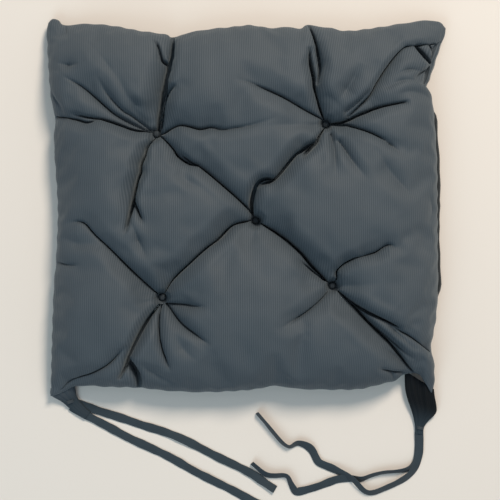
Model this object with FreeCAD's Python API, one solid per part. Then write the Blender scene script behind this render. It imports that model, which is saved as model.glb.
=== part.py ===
"""Tufted chair seat pad with two pairs of tie tapes, in millimetres.

A square cushion lies on its flat underside. A crowned top panel and a dished bottom panel are sewn
together round the rim and stuffed with loose fibre. Five tufts pull the panels together: each has a
covered button above, a flat button below and a loop of twine between them. A tape folded in half is
bar-tacked to the folded fabric at each rear corner, so that two tails leave each corner.

Frame: +Z up, +Y towards the free front edge, -Y towards the tied rear edge, +X to the right.
The origin is on the underside, in the middle of the pad.
"""

import FreeCAD
import Part
import math
import os

V = FreeCAD.Vector

# Driving dimensions of the pad.
FRONT_LEFT, FRONT_RIGHT = (-198.0, 197.0), (204.0, 191.0)
REAR_LEFT, REAR_RIGHT = (-199.0, -189.0), (193.0, -191.0)
SAG = {"front": 6.0, "rear": 9.0, "left": 7.0, "right": 4.0}  # how far each edge pulls in at its middle
FABRIC = 1.0  # thickness of a panel
SEAM_GAP = 0.1  # between the two panels at the rim
RIM_Z = 16.0  # height of the top panel's edge above the underside
LOWER_RIM_Z = RIM_Z - FABRIC - SEAM_GAP  # height of the bottom panel's edge
CROWN = 42.0  # rise of the top panel above the seam
BASE_INSET = 34.0  # from the seam in to the flat underside
GAP = 0.4  # between the stuffing and the panels
STUFFING_INSET = 4.0  # from the rim in to the stuffing
GRID_COUNT = 45  # points each way that the top panel passes through
CROWN_POWER = 4  # how squarely the crown fills the outline

# Tufts, as places in the pad, and the heights that they are pulled to.
TUFTS = {
    "front_left": (-90.0, 79.0),
    "front_right": (82.0, 89.0),
    "centre": (11.0, -9.0),
    "rear_left": (-84.0, -87.0),
    "rear_right": (89.0, -75.0),
}
TUFT_TOP_Z = 24.0  # top panel at a tuft
TUFT_REACH = 26.0  # how far a tuft's hollow spreads
VALLEY_SHARE, VALLEY_REACH = 0.3, 15.0  # depth and reach of the valley between two tufts
RECESS_Z, RECESS_R, RECESS_FLAT_R = 8.0, 22.0, 7.5  # hollow under each tuft
NEEDLE_HOLE_R = 2.0

# Buttons and twine.
BUTTON_R, BUTTON_RISE, BUTTON_EDGE = 3.3, 2.8, 0.8
BUTTON_LIFT = 1.5  # button's base above the top panel at the tuft
COVER = 0.45  # thickness of the fabric on the button
COVER_TURN_IN = 1.2  # how far the fabric turns in under the button
SLIP = 0.05  # between pieces that touch
SHANK_DROP, SHANK_HALF_WIDTH, SHANK_HALF_THICK, SHANK_ROOT = 2.6, 1.3, 0.45, 0.2
EYE_R = 0.62
TWINE_R, TWINE_HALF_GAP = 0.35, 1.2
KNOT_R = 0.9
BACK_BUTTON_R, BACK_BUTTON_THICK, BACK_BUTTON_HOLE_R, BACK_BUTTON_ROUND = 5.0, 2.0, 0.6, 0.5
BACK_BUTTON_CLEAR = 0.2

# Stitching.
SEAM_THREAD_R, SEAM_INSET, SEAM_Z = 0.25, 1.6, 15.2
SEAM_END = 0.09  # share of an edge that a row stops short of each corner
SEAM_BREAK = 0.005  # share of the edge left between the two rear rows and the closing row
OPENING = (0.36, 0.64)  # part of the rear edge that is closed after stuffing

# Tie tapes.
TAPE_WIDTH, TAPE_THICK = 8.5, 1.2
TACK_LENGTH, TACK_WIDTH, TACK_HEIGHT = 8.5, 2.4, 0.8
TACK_PLACE = 0.8  # share of the way down the corner's last stretch
TACK_RISE = 0.35  # of the tack's underside above the middle of that stretch, before it is trimmed

# The corners' folded fabric, as sections from the rim to where the tape leaves it. Each section is one
# end, the other end, and its lowest and highest point.
ROOTS = {
    "left": [
        ((-199.0, -188.5), (-176.5, -182.0), 7.0, 13.0),
        ((-182.0, -203.0), (-174.5, -192.5), 0.3, 3.4),
    ],
    "right": [
        ((197.0, -188.0), (164.5, -184.0), 7.0, 13.0),
        ((197.0, -206.0), (173.2, -207.0), 2.0, 7.0),
        ((184.0, -226.7), (175.4, -226.7), 0.3, 3.4),
    ],
}
ROOT_CLEAR = 0.3  # between the rim and the folded fabric

# Routes of the four tails, from the corner to the loose end, as (x, y, height of the centre).
TAIL_ROUTES = {
    "left_tie_inner_tail": [
        (-177.0, -196.4, 1.0),
        (-164.5, -200.8, 0.8),
        (-148.5, -206.4, 0.8),
        (-128.0, -212.5, 0.8),
        (-105.5, -220.6, 0.8),
        (-83.5, -226.8, 0.8),
        (-64.5, -234.2, 0.8),
        (-46.5, -243.6, 0.8),
        (-28.0, -253.4, 0.8),
        (-9.5, -261.8, 0.8),
        (8.5, -271.0, 0.8),
        (21.0, -280.2, 0.8),
        (31.2, -286.6, 0.8),
    ],
    "left_tie_outer_tail": [
        (-180.0, -200.6, 2.4),
        (-171.5, -206.9, 2.0),
        (-159.5, -213.9, 1.0),
        (-142.0, -223.0, 0.8),
        (-121.0, -233.2, 0.8),
        (-98.5, -243.2, 0.8),
        (-75.5, -254.2, 0.8),
        (-54.5, -266.8, 0.8),
        (-33.5, -277.4, 0.8),
        (-13.5, -287.0, 0.8),
        (3.5, -296.6, 0.8),
        (18.5, -303.6, 0.8),
    ],
    "right_tie_lower_tail": [
        (179.8, -227.0, 0.8),
        (180.2, -238.5, 0.8),
        (179.2, -250.0, 0.8),
        (176.0, -259.8, 0.8),
        (168.5, -265.6, 1.4),
        (156.5, -267.6, 2.4),
        (143.5, -268.2, 2.4),
        (130.5, -271.4, 1.4),
        (119.0, -276.4, 0.8),
        (108.5, -274.9, 0.8),
        (97.5, -275.2, 0.8),
        (87.2, -278.7, 0.8),
        (76.0, -283.2, 0.8),
        (65.0, -287.0, 0.8),
        (55.4, -288.8, 1.4),
        (49.5, -286.1, 1.8),
        (46.2, -280.4, 2.4),
        (42.0, -273.9, 2.4),
        (36.0, -271.8, 1.8),
        (27.5, -273.2, 0.8),
        (19.5, -270.9, 0.8),
        (12.5, -264.8, 0.8),
        (6.4, -260.6, 0.8),
    ],
    "right_tie_upper_tail": [
        (179.8, -227.0, 2.4),
        (180.4, -239.5, 2.3),
        (179.6, -251.5, 2.3),
        (177.0, -262.0, 2.3),
        (170.3, -271.4, 1.5),
        (159.0, -278.6, 0.8),
        (146.0, -284.4, 0.8),
        (134.0, -289.0, 1.0),
        (124.5, -288.6, 2.4),
        (117.2, -281.0, 4.6),
        (109.4, -272.6, 4.6),
        (100.5, -267.8, 2.4),
        (89.5, -263.2, 0.8),
        (80.2, -260.2, 0.8),
        (73.0, -254.4, 0.8),
        (69.6, -246.4, 0.8),
        (63.6, -241.0, 1.0),
        (55.5, -238.0, 1.6),
        (46.8, -241.2, 2.2),
        (40.6, -239.6, 2.2),
        (35.2, -233.8, 1.4),
        (27.4, -224.2, 0.8),
        (19.9, -215.4, 0.8),
        (12.2, -207.0, 0.8),
    ],
}
RUN_SHARE = 0.45  # share of the shorter run that an arc may use

FAR = 100.0  # longer than anything that is cut with it


def edge_point(start, end, sag, share):
    """A point on a pad edge that bows inwards, which is to the left of the way from start to end."""
    (x0, y0), (x1, y1) = start, end
    length = math.hypot(x1 - x0, y1 - y0)
    bow = sag * 4 * share * (1 - share)
    return (
        x0 + (x1 - x0) * share - (y1 - y0) / length * bow,
        y0 + (y1 - y0) * share + (x1 - x0) / length * bow,
    )


def edges(inset):
    """The four edges, anticlockwise from the rear, as (start, end, sag), with the corners drawn in by inset."""
    rear_left = (REAR_LEFT[0] + inset, REAR_LEFT[1] + inset)
    rear_right = (REAR_RIGHT[0] - inset, REAR_RIGHT[1] + inset)
    front_right = (FRONT_RIGHT[0] - inset, FRONT_RIGHT[1] - inset)
    front_left = (FRONT_LEFT[0] + inset, FRONT_LEFT[1] - inset)
    return {
        "rear": (rear_left, rear_right, SAG["rear"]),
        "right": (rear_right, front_right, SAG["right"]),
        "front": (front_right, front_left, SAG["front"]),
        "left": (front_left, rear_left, SAG["left"]),
    }


def arc_edge(start, end, sag, z, first=0.0, last=1.0):
    """The arc along one pad edge at height z, from the share first to the share last."""
    points = [edge_point(start, end, sag, s) for s in (first, (first + last) / 2, last)]
    return Part.Arc(*[V(x, y, z) for x, y in points]).toShape()


def outline(inset, z):
    return Part.Wire([arc_edge(*edge, z) for edge in edges(inset).values()])


def distance_to_segment(x, y, a, b):
    dx, dy = b[0] - a[0], b[1] - a[1]
    share = ((x - a[0]) * dx + (y - a[1]) * dy) / (dx * dx + dy * dy)
    share = min(1.0, max(0.0, share))
    return math.hypot(x - a[0] - share * dx, y - a[1] - share * dy)


def top_height(x, y, u, v):
    """Height of the top panel: a crown that falls to the rim, hollowed at the tufts and between them."""
    rise = (1 - (2 * u - 1) ** CROWN_POWER) * (1 - (2 * v - 1) ** CROWN_POWER)
    crown = RIM_Z + CROWN * rise
    keep = 1.0
    for tuft_x, tuft_y in TUFTS.values():
        keep *= 1 - math.exp(-(math.hypot(x - tuft_x, y - tuft_y) / TUFT_REACH) ** 2)
    for name, tuft in TUFTS.items():
        if name != "centre":
            away = distance_to_segment(x, y, TUFTS["centre"], tuft)
            keep *= 1 - VALLEY_SHARE * math.exp(-((away / VALLEY_REACH) ** 2))
    return TUFT_TOP_Z + (crown - TUFT_TOP_Z) * keep


def top_face():
    """The top panel's outer face: a patch between the four edges, through a grid of points."""
    side = edges(0.0)
    grid = []
    for i in range(GRID_COUNT):
        u = i / (GRID_COUNT - 1)
        rear, front = edge_point(*side["rear"], u), edge_point(*side["front"], 1 - u)
        row = []
        for j in range(GRID_COUNT):
            v = j / (GRID_COUNT - 1)
            left, right = edge_point(*side["left"], 1 - v), edge_point(*side["right"], v)
            x, y = (
                (1 - v) * rear[k] + v * front[k] + (1 - u) * left[k] + u * right[k]
                - (1 - u) * (1 - v) * REAR_LEFT[k] - u * (1 - v) * REAR_RIGHT[k]
                - (1 - u) * v * FRONT_LEFT[k] - u * v * FRONT_RIGHT[k]
                for k in (0, 1)
            )
            row.append(V(x, y, top_height(x, y, u, v)))
        grid.append(row)
    surface = Part.BSplineSurface()
    surface.interpolate(grid)
    return surface.toShape()


def at_tufts(shape):
    """Copies of a shape made at the origin, one at each tuft, by name."""
    return {name: shape.translated(V(x, y, 0)) for name, (x, y) in TUFTS.items()}


def drill(shape):
    """The shape with a needle hole through it at each tuft."""
    hole = Part.makeCylinder(NEEDLE_HOLE_R, 2 * FAR, V(0, 0, -FAR))
    return shape.cut(Part.makeCompound(list(at_tufts(hole).values())))


def dish(lift, grow=0.0):
    """The solid inside the dished underside, raised by lift, with the tufts' hollows left out."""
    solid = Part.makeLoft([outline(BASE_INSET, lift), outline(0.0, LOWER_RIM_Z + lift)], True, True)
    hollow = Part.makeCone(RECESS_R + grow, RECESS_FLAT_R + grow, RECESS_Z, V(0, 0, lift))
    return solid.cut(Part.makeCompound(list(at_tufts(hollow).values())))


def bottom_panel():
    return drill(dish(0.0).cut(dish(FABRIC)))


def top_panel(face):
    return drill(face.extrude(V(0, 0, -FABRIC)))


def filling(face):
    """The stuffing: everything between the panels, kept clear of them and of the seam."""
    under_top = face.translated(V(0, 0, -FABRIC - GAP)).extrude(V(0, 0, -FAR))
    lift = FABRIC + GAP
    upper_rim = Part.Face(outline(0.0, LOWER_RIM_Z + lift))
    over_bottom = dish(lift, GAP).fuse(upper_rim.extrude(V(0, 0, FAR)))
    inside = Part.Face(outline(STUFFING_INSET, 0.0)).extrude(V(0, 0, FAR))
    return drill(under_top.common(over_bottom).common(inside))


def dome(radius, base_z, edge_z, top_z):
    """A domed disc: flat below, with a short upright edge and a ball-shaped top."""
    rise = top_z - edge_z
    ball_r = (radius**2 + rise**2) / (2 * rise)
    ball = Part.makeSphere(ball_r, V(0, 0, top_z - ball_r))
    return Part.makeCylinder(radius, top_z - base_z, V(0, 0, base_z)).common(ball)


def button_core():
    """The moulded core of a covered button, with a shank and an eye for the twine below it."""
    base = TUFT_TOP_Z + BUTTON_LIFT
    disc = dome(BUTTON_R, base, base + BUTTON_EDGE, base + BUTTON_RISE)
    shank = Part.makeBox(
        2 * SHANK_HALF_THICK,
        2 * SHANK_HALF_WIDTH,
        SHANK_DROP + SHANK_ROOT,
        V(-SHANK_HALF_THICK, -SHANK_HALF_WIDTH, base - SHANK_DROP),
    )
    eye = Part.makeCylinder(EYE_R, 2 * BUTTON_R, V(-BUTTON_R, 0, eye_height()), V(1, 0, 0))
    return disc.fuse(shank).cut(eye).removeSplitter()


def eye_height():
    return TUFT_TOP_Z + BUTTON_LIFT - SHANK_DROP / 2


def button_cover():
    """The fabric cap of a covered button, turned in under its edge."""
    base = TUFT_TOP_Z + BUTTON_LIFT
    inner_r, outer_r = BUTTON_R + SLIP, BUTTON_R + SLIP + COVER
    inner = dome(inner_r, base - SLIP, base + BUTTON_EDGE, base + BUTTON_RISE + SLIP)
    outer = dome(outer_r, base - SLIP - COVER, base + BUTTON_EDGE, base + BUTTON_RISE + SLIP + COVER)
    mouth = Part.makeCylinder(BUTTON_R - COVER_TURN_IN, 2 * COVER, V(0, 0, base - 2 * COVER))
    return outer.cut(inner).cut(mouth)


def back_button_top():
    return RECESS_Z - BACK_BUTTON_CLEAR


def back_button():
    """The flat two-hole button under a tuft."""
    bottom = back_button_top() - BACK_BUTTON_THICK
    disc = Part.makeCylinder(BACK_BUTTON_R, BACK_BUTTON_THICK, V(0, 0, bottom))
    rims = [e for e in disc.Edges if e.Curve.TypeId == "Part::GeomCircle"]
    disc = disc.makeFillet(BACK_BUTTON_ROUND, rims)
    for side in (-1, 1):
        hole = Part.makeCylinder(BACK_BUTTON_HOLE_R, BACK_BUTTON_THICK, V(side * TWINE_HALF_GAP, 0, bottom))
        disc = disc.cut(hole)
    return disc


def twine():
    """One closed loop of twine: through the button's eye, down both sides and across under the back button."""
    arch_z = eye_height() + SLIP - TWINE_HALF_GAP
    bottom = back_button_top() - BACK_BUTTON_THICK - TWINE_R - SLIP
    arch = Part.Arc(
        V(TWINE_HALF_GAP, 0, arch_z), V(0, 0, arch_z + TWINE_HALF_GAP), V(-TWINE_HALF_GAP, 0, arch_z)
    ).toShape()
    strands = [
        Part.makeCylinder(TWINE_R, arch_z - bottom, V(side * TWINE_HALF_GAP, 0, bottom)) for side in (-1, 1)
    ]
    ring = Part.Face(Part.Wire(Part.makeCircle(TWINE_R, V(TWINE_HALF_GAP, 0, arch_z), V(0, 0, 1))))
    arch_solid = ring.revolve(V(0, 0, arch_z), V(0, -1, 0), 180)
    bar = Part.makeCylinder(TWINE_R, 2 * TWINE_HALF_GAP, V(-TWINE_HALF_GAP, 0, bottom), V(1, 0, 0))
    knot = Part.makeSphere(KNOT_R, V(0, 0, bottom + TWINE_R - KNOT_R))
    return arch_solid.multiFuse(strands + [bar, knot]).removeSplitter()


def thread_row(edge, first, last):
    """A row of machine stitches, as one thin tube along part of a pad edge."""
    path = arc_edge(*edge, SEAM_Z, first, last)
    start = path.valueAt(path.FirstParameter)
    circle = Part.Wire(Part.makeCircle(SEAM_THREAD_R, start, path.tangentAt(path.FirstParameter)))
    return Part.Wire(path).makePipeShell([circle], True, True)


def perimeter_stitching():
    side = edges(SEAM_INSET)
    rows = [thread_row(side[name], SEAM_END, 1 - SEAM_END) for name in ("right", "front", "left")]
    rows.append(thread_row(side["rear"], SEAM_END, OPENING[0] - SEAM_BREAK))
    rows.append(thread_row(side["rear"], OPENING[1] + SEAM_BREAK, 1 - SEAM_END))
    return Part.makeCompound(rows)


def closing_stitching():
    return thread_row(edges(SEAM_INSET)["rear"], *OPENING)


def route_wire(points):
    """Straight runs joined by tangent arcs through a tail's route, and the radius of each arc."""
    spots = [V(*p) for p in points]
    sides, radii, here = [], [], spots[0]
    for before, corner, after in zip(spots, spots[1:], spots[2:]):
        to_before, to_after = (before - corner).normalize(), (after - corner).normalize()
        turn = math.pi - to_before.getAngle(to_after)
        reach = RUN_SHARE * min((before - corner).Length, (after - corner).Length)
        start, end = corner + to_before * reach, corner + to_after * reach
        radius = reach / math.tan(turn / 2)
        middle_way = (to_before + to_after).normalize()
        middle = corner + middle_way * (radius / math.cos(turn / 2) - radius)
        sides += [Part.LineSegment(here, start).toShape(), Part.Arc(start, middle, end).toShape()]
        radii.append(radius)
        here = end
    sides.append(Part.LineSegment(here, spots[-1]).toShape())
    return Part.Wire(sides), radii


def tail(name, points):
    """A flat tape swept along its route, lying flat."""
    path, radii = route_wire(points)
    start, way = V(*points[0]), (V(*points[1]) - V(*points[0])).normalize()
    across = way.cross(V(0, 0, 1)).normalize() * (TAPE_WIDTH / 2)
    up = across.cross(way).normalize() * (TAPE_THICK / 2)
    corners = [start + across + up, start - across + up, start - across - up, start + across - up]
    section = Part.Wire([Part.LineSegment(a, b).toShape() for a, b in zip(corners, corners[1:] + corners[:1])])
    sweep = Part.BRepOffsetAPI.MakePipeShell(path)
    sweep.setBiNormalMode(V(0, 0, 1))
    sweep.add(section)
    sweep.build()
    sweep.makeSolid()
    solid = sweep.shape()
    expected = TAPE_WIDTH * TAPE_THICK * path.Length
    print(
        f"{name}: length {path.Length:.1f}, volume {solid.Volume:.0f} of {expected:.0f},"
        f" least radius {min(radii):.1f}, radii {[round(r) for r in radii]}"
    )
    return solid


def root(side):
    """The folded fabric of a rear corner, from the rim down to where the tape leaves it."""
    wires = []
    for (x0, y0), (x1, y1), low, high in ROOTS[side]:
        corners = [V(x0, y0, low), V(x1, y1, low), V(x1, y1, high), V(x0, y0, high)]
        wires.append(Part.makePolygon(corners + corners[:1]))
    block = Part.makeLoft(wires, True, True)
    column = Part.Face(outline(-ROOT_CLEAR, 0.0)).extrude(V(0, 0, FAR))
    return block.cut(column)


def bar_tack(side):
    """The dense row of stitches that holds the tape to the folded corner, across the tape's way out."""
    middles = []
    for (x0, y0), (x1, y1), _, high in ROOTS[side][-2:]:
        middles.append(V((x0 + x1) / 2, (y0 + y1) / 2, high))
    way = middles[1] - middles[0]
    block = Part.makeBox(
        TACK_WIDTH, TACK_LENGTH, TACK_HEIGHT, V(-TACK_WIDTH / 2, -TACK_LENGTH / 2, TACK_RISE)
    )
    block.rotate(V(0, 0, 0), V(0, 0, 1), math.degrees(math.atan2(way.y, way.x)))
    return block.translated(middles[0] + way * TACK_PLACE).cut(root(side))


def export(name, shape):
    solids = shape.Solids
    assert solids and shape.isValid(), f"{name} isn't a valid solid"
    whole = solids[0] if len(solids) == 1 else Part.makeCompound(solids)
    whole.exportStep(f"parts/{name}.step")


def main():
    os.makedirs("parts", exist_ok=True)
    face = top_face()
    shapes = {
        "top_panel": top_panel(face),
        "bottom_panel": bottom_panel(),
        "fibre_filling": filling(face),
        "perimeter_stitching": perimeter_stitching(),
        "closing_stitching": closing_stitching(),
    }
    for kind, shape in {
        "button_cover": button_cover(),
        "button_core": button_core(),
        "back_button": back_button(),
        "tuft_twine": twine(),
    }.items():
        for place, copy in at_tufts(shape).items():
            shapes[f"{kind}_{place}"] = copy
    for side in ROOTS:
        shapes[f"{side}_tie_root"] = root(side)
        shapes[f"{side}_bar_tack"] = bar_tack(side)
    for name, points in TAIL_ROUTES.items():
        shapes[name] = tail(name, points)
    for name, shape in shapes.items():
        export(name, shape)
    print(f"{len(shapes)} nodes")


main()
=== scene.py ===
# %% [markdown]
# # A tufted seat pad with ties
#
# This lesson builds the looks of a fibre-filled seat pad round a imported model. The pad is two panels of
# woven cloth sewn together at the rim and stuffed, so it swells everywhere except where something holds
# it: at the seam, and at five tufts, where twine pulls a button down on each side. Each rear corner ends
# in a folded tongue of cloth with two flat tails of tape, for tying round a chair's back posts.
#
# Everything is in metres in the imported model's own frame: +Z is up, -Y is the tied rear edge, and the
# origin is on the underside in the middle. Places below are written in millimetres, as a maker would say
# them, and one function turns them into metres.

import math
import time

import bpy
import numpy as np
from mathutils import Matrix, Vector


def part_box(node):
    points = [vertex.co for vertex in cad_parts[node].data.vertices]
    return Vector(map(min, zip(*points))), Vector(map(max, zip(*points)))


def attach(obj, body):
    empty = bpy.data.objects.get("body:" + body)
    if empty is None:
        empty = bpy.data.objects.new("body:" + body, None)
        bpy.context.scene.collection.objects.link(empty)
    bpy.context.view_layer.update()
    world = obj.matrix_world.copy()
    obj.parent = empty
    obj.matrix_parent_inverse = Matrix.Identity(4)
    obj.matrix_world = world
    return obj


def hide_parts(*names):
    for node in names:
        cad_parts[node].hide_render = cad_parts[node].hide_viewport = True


MM = 0.001
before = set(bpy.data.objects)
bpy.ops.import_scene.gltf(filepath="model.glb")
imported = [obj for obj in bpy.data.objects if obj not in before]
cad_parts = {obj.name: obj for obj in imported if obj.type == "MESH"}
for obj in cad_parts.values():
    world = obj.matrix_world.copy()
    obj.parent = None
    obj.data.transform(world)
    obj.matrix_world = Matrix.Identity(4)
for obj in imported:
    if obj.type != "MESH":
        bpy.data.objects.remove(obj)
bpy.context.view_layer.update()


# %% [markdown]
# ## Small helpers
#
# A mesh of cloth is easiest to think of as a grid of points, like squared paper that has been pushed
# about. One helper turns rows of points into a mesh with a UV map that remembers where each point was on
# the flat cloth, in metres, so that a weave drawn on the UVs follows every fold.


# %% Helpers for meshes
def new_piece(name, points, faces, uvs=None):
    """A mesh object from points in metres and faces, with one UV for each point if they are given."""
    mesh = bpy.data.meshes.new(name)
    mesh.from_pydata([tuple(p) for p in points], [], [tuple(int(i) for i in f) for f in faces])
    if uvs is not None:
        layer = mesh.uv_layers.new(name="cloth")
        corners = np.empty(len(mesh.loops), np.int32)
        mesh.loops.foreach_get("vertex_index", corners)
        layer.data.foreach_set("uv", np.asarray(uvs, np.float32)[corners].ravel())
    mesh.shade_smooth()
    mesh.update()
    piece = bpy.data.objects.new(name, mesh)
    bpy.context.scene.collection.objects.link(piece)
    return piece


def grid_faces(rows, columns, around=False, first=0):
    """Quads between neighbouring rows of a grid of points; around joins the last column to the first."""
    i, j = np.meshgrid(np.arange(rows - 1), np.arange(columns if around else columns - 1), indexing="ij")
    here = first + i * columns + j
    right = first + i * columns + (j + 1) % columns
    return np.stack([here, here + columns, right + columns, right], axis=-1).reshape(-1, 4)


def smoothstep(t):
    """From 0 to 1 as t does, easing in and out."""
    t = np.clip(t, 0, 1)
    return t * t * (3 - 2 * t)


# %% [markdown]
# ## Colours and nodes
#
# Hex colours describe what a screen shows, but Blender's shaders work in linear light, so one function
# converts them. Another adds a node with its settings and links in a single call, which keeps each
# material short enough to read as a recipe.


# %% Helpers for materials
def linear(hex_colour):
    """A linear RGBA colour from an sRGB hex one such as 4C5155."""
    parts = [int(hex_colour[i : i + 2], 16) / 255 for i in (0, 2, 4)]
    return [c / 12.92 if c <= 0.04045 else ((c + 0.055) / 1.055) ** 2.4 for c in parts] + [1.0]


def add_node(tree, kind, settings=None, inputs=None, links=None):
    """A new node. settings are its properties, inputs its sockets' values, links what feeds its sockets."""
    node = tree.nodes.new(kind)
    for key, value in (settings or {}).items():
        setattr(node, key, value)
    for key, value in (inputs or {}).items():
        node.inputs[key].default_value = value
    for key, (source, output) in (links or {}).items():
        tree.links.new(source.outputs[output], node.inputs[key])
    return node


def new_material(name, roughness, sheen=0.0, sheen_roughness=0.5, specular=0.5):
    """A material with a Principled shader. Numbers that are the same all over are set on its sockets."""
    material = bpy.data.materials.new(name)
    material.use_nodes = True
    tree = material.node_tree
    shader = tree.nodes["Principled BSDF"]
    shader.inputs["Roughness"].default_value = roughness
    shader.inputs["Specular IOR Level"].default_value = specular
    shader.inputs["Sheen Weight"].default_value = sheen
    shader.inputs["Sheen Roughness"].default_value = sheen_roughness
    return material, tree, shader


def finish_piece(piece, node, material):
    """Give a piece its material, hide the imported part that it stands for, and hang it on what it rides
    on.
    """
    piece.data.materials.append(material)
    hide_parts(node)
    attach(piece, "root")


# %% [markdown]
# ## Camera, light and floor
#
# The pad is looked at from straight above, so the camera hangs over it and looks down, with the tied edge
# at the bottom of the picture. Soft cloth shows its shape through shade, so one large light on the free
# edge's side does most of the work, and a pale surround fills in the rest. The floor is plain.

# %% Camera
CAMERA_HEIGHT = 1.5
CAMERA_OVER = (5.1 * MM, -38.9 * MM)
SEEN_AT_RIM = 512.15 * MM  # width of the view at the height of the seam
RIM_Z = 16 * MM

camera_data = bpy.data.cameras.new("camera")
camera_data.sensor_width = 36
camera_data.lens = 36 * (CAMERA_HEIGHT - RIM_Z) / SEEN_AT_RIM
camera = bpy.data.objects.new("camera", camera_data)
camera.location = (*CAMERA_OVER, CAMERA_HEIGHT)
bpy.context.scene.collection.objects.link(camera)
bpy.context.scene.camera = camera
bpy.context.scene.view_settings.view_transform = "Standard"
print("lens", round(camera_data.lens, 1), "mm")


# %% Lights and floor
def area_light(name, place, aim, size, power, colour):
    """A round lamp at a place, pointing at another, with its size in metres and power in watts."""
    data = bpy.data.lights.new(name, "AREA")
    data.shape = "DISK"
    data.size = size
    data.energy = power
    data.color = linear(colour)[:3]
    light = bpy.data.objects.new(name, data)
    light.location = place
    light.rotation_euler = (Vector(aim) - Vector(place)).to_track_quat("-Z", "Y").to_euler()
    bpy.context.scene.collection.objects.link(light)


area_light("key_light", (0.8, 1.55, 1.95), (0, 0, 0), 0.8, 63, "FFEFDD")
area_light("sky_light", (-0.7, -1.3, 1.5), (0, 0, 0), 1.4, 13, "C2E1EE")

world = bpy.data.worlds.new("studio")
bpy.context.scene.world = world
world.use_nodes = True
world.node_tree.nodes["Background"].inputs["Color"].default_value = linear("E9EFF4")
world.node_tree.nodes["Background"].inputs["Strength"].default_value = 0.42

bpy.ops.mesh.primitive_plane_add(size=30, location=(0, 0, 0))
floor = bpy.context.active_object
floor.name = "floor"
floor_material, _, floor_shader = new_material("plain_floor_matte_paint", 0.9, specular=0.2)
floor_shader.inputs["Base Color"].default_value = linear("DEDAD5")
floor.data.materials.append(floor_material)


# %% [markdown]
# ## The ties
#
# Each tie is a strip of the cover cloth folded in on itself and stitched flat, 8.5 mm wide, so it bends
# easily one way and hardly at all the other. It could be a flat curve with a bevel, but a bevelled curve
# can't roll on to its edge where it should. So a NURBS curve gives the route that the tape lies along, its
# points are read back, and a rounded strip is laid on them, with a roll that changes along the way. Where
# a tape changes direction on a floor it has to roll or fold over, and that is where it looks narrow.

# %% Routes of the four tails, from the corner to the loose end, in mm
TAPE_WIDTH, TAPE_THICK = 8.5 * MM, 1.2 * MM
TAIL_ROUTES = {
    "left_tie_inner_tail": [
        (-177, -196.4, 1), (-164.5, -200.8, 0.8), (-148.5, -206.4, 0.8), (-128, -212.5, 0.8),
        (-105.5, -220.6, 0.8), (-83.5, -226.8, 0.8), (-64.5, -234.2, 0.8), (-46.5, -243.6, 0.8),
        (-28, -253.4, 0.8), (-9.5, -261.8, 0.8), (8.5, -271, 0.8), (21, -280.2, 0.8), (31.2, -286.6, 0.8),
    ],
    "left_tie_outer_tail": [
        (-180, -200.6, 2.4), (-171, -206.3, 2), (-158.8, -212.6, 1.6), (-141.4, -221.8, 0.8),
        (-121, -233.2, 0.8), (-98.5, -243.2, 0.8), (-75.5, -254.2, 0.8), (-54.5, -266.8, 0.8),
        (-33.5, -277.4, 0.8), (-13.5, -287, 0.8), (3.5, -296.6, 0.8), (18.5, -303.6, 0.8),
    ],
    "right_tie_lower_tail": [
        (179.8, -227, 0.8), (180.2, -238.5, 0.8), (179.2, -250, 0.8), (176, -259.8, 1.2),
        (168.5, -265.6, 3.4), (156.5, -267.6, 3.8), (143.5, -268.2, 3.6), (130.5, -271.4, 2.4),
        (119, -276.4, 1), (108.5, -274.9, 0.8), (97.5, -275.2, 0.8), (87.2, -278.7, 0.8),
        (76, -283.2, 0.8), (65, -286.4, 0.8), (57, -288.6, 1), (52.6, -288.8, 1.6), (50.2, -285.6, 2.6),
        (46.6, -278.4, 3.4), (44.6, -273.4, 3.2), (41, -271.2, 2.4), (32.5, -272, 1.2), (24, -271.8, 0.8),
        (18.8, -269.2, 0.8), (12.4, -263.6, 0.8), (7, -258.8, 0.8),
    ],
    "right_tie_upper_tail": [
        (179.8, -227, 2.4), (180.4, -239.5, 2.3), (179.6, -251.5, 2.3), (177, -262, 2.3),
        (170.3, -271.4, 1.7), (159, -278.6, 1.4), (146, -284.4, 1.2), (131.5, -290.4, 1.6),
        (123, -288.4, 3.6), (116.6, -281, 5.4), (110.4, -274.4, 5.2), (100.5, -269.2, 2.4),
        (89.5, -264.2, 0.8), (79, -260.2, 0.8), (75.4, -258, 0.8), (72.6, -252.4, 0.8),
        (69.4, -245.6, 0.9), (63.6, -240.8, 1.4), (56.4, -238.2, 2.6), (52.6, -238.6, 3.2),
        (48, -241.8, 3.2), (44.6, -242.4, 2.8), (38.2, -238, 1.8), (27.4, -225, 1), (19.9, -215.8, 0.9),
        (12.2, -207, 0.8),
    ],
}

# Roll of each tape about its own length, as (share of the way along, degrees).
TAIL_ROLLS = {
    "left_tie_inner_tail": [(0, 4), (0.4, -4), (0.5, 14), (0.62, -3), (0.9, 6), (1, 20)],
    "left_tie_outer_tail": [(0, -6), (0.3, 3), (0.7, -8), (1, 3)],
    "right_tie_lower_tail": [
        (0, 0), (0.1, 6), (0.17, 40), (0.22, 60), (0.4, 58), (0.47, 12), (0.62, 20), (0.72, 12),
        (0.78, 55), (0.87, 50), (0.93, 50), (1, 60),
    ],
    "right_tie_upper_tail": [
        (0, 0), (0.1, 4), (0.18, 38), (0.33, 42), (0.4, 52), (0.46, 48), (0.54, 40), (0.58, 14),
        (0.68, 12), (0.74, 38), (0.79, 60), (0.84, 62), (0.9, 64), (1, 66),
    ],
}


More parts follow.
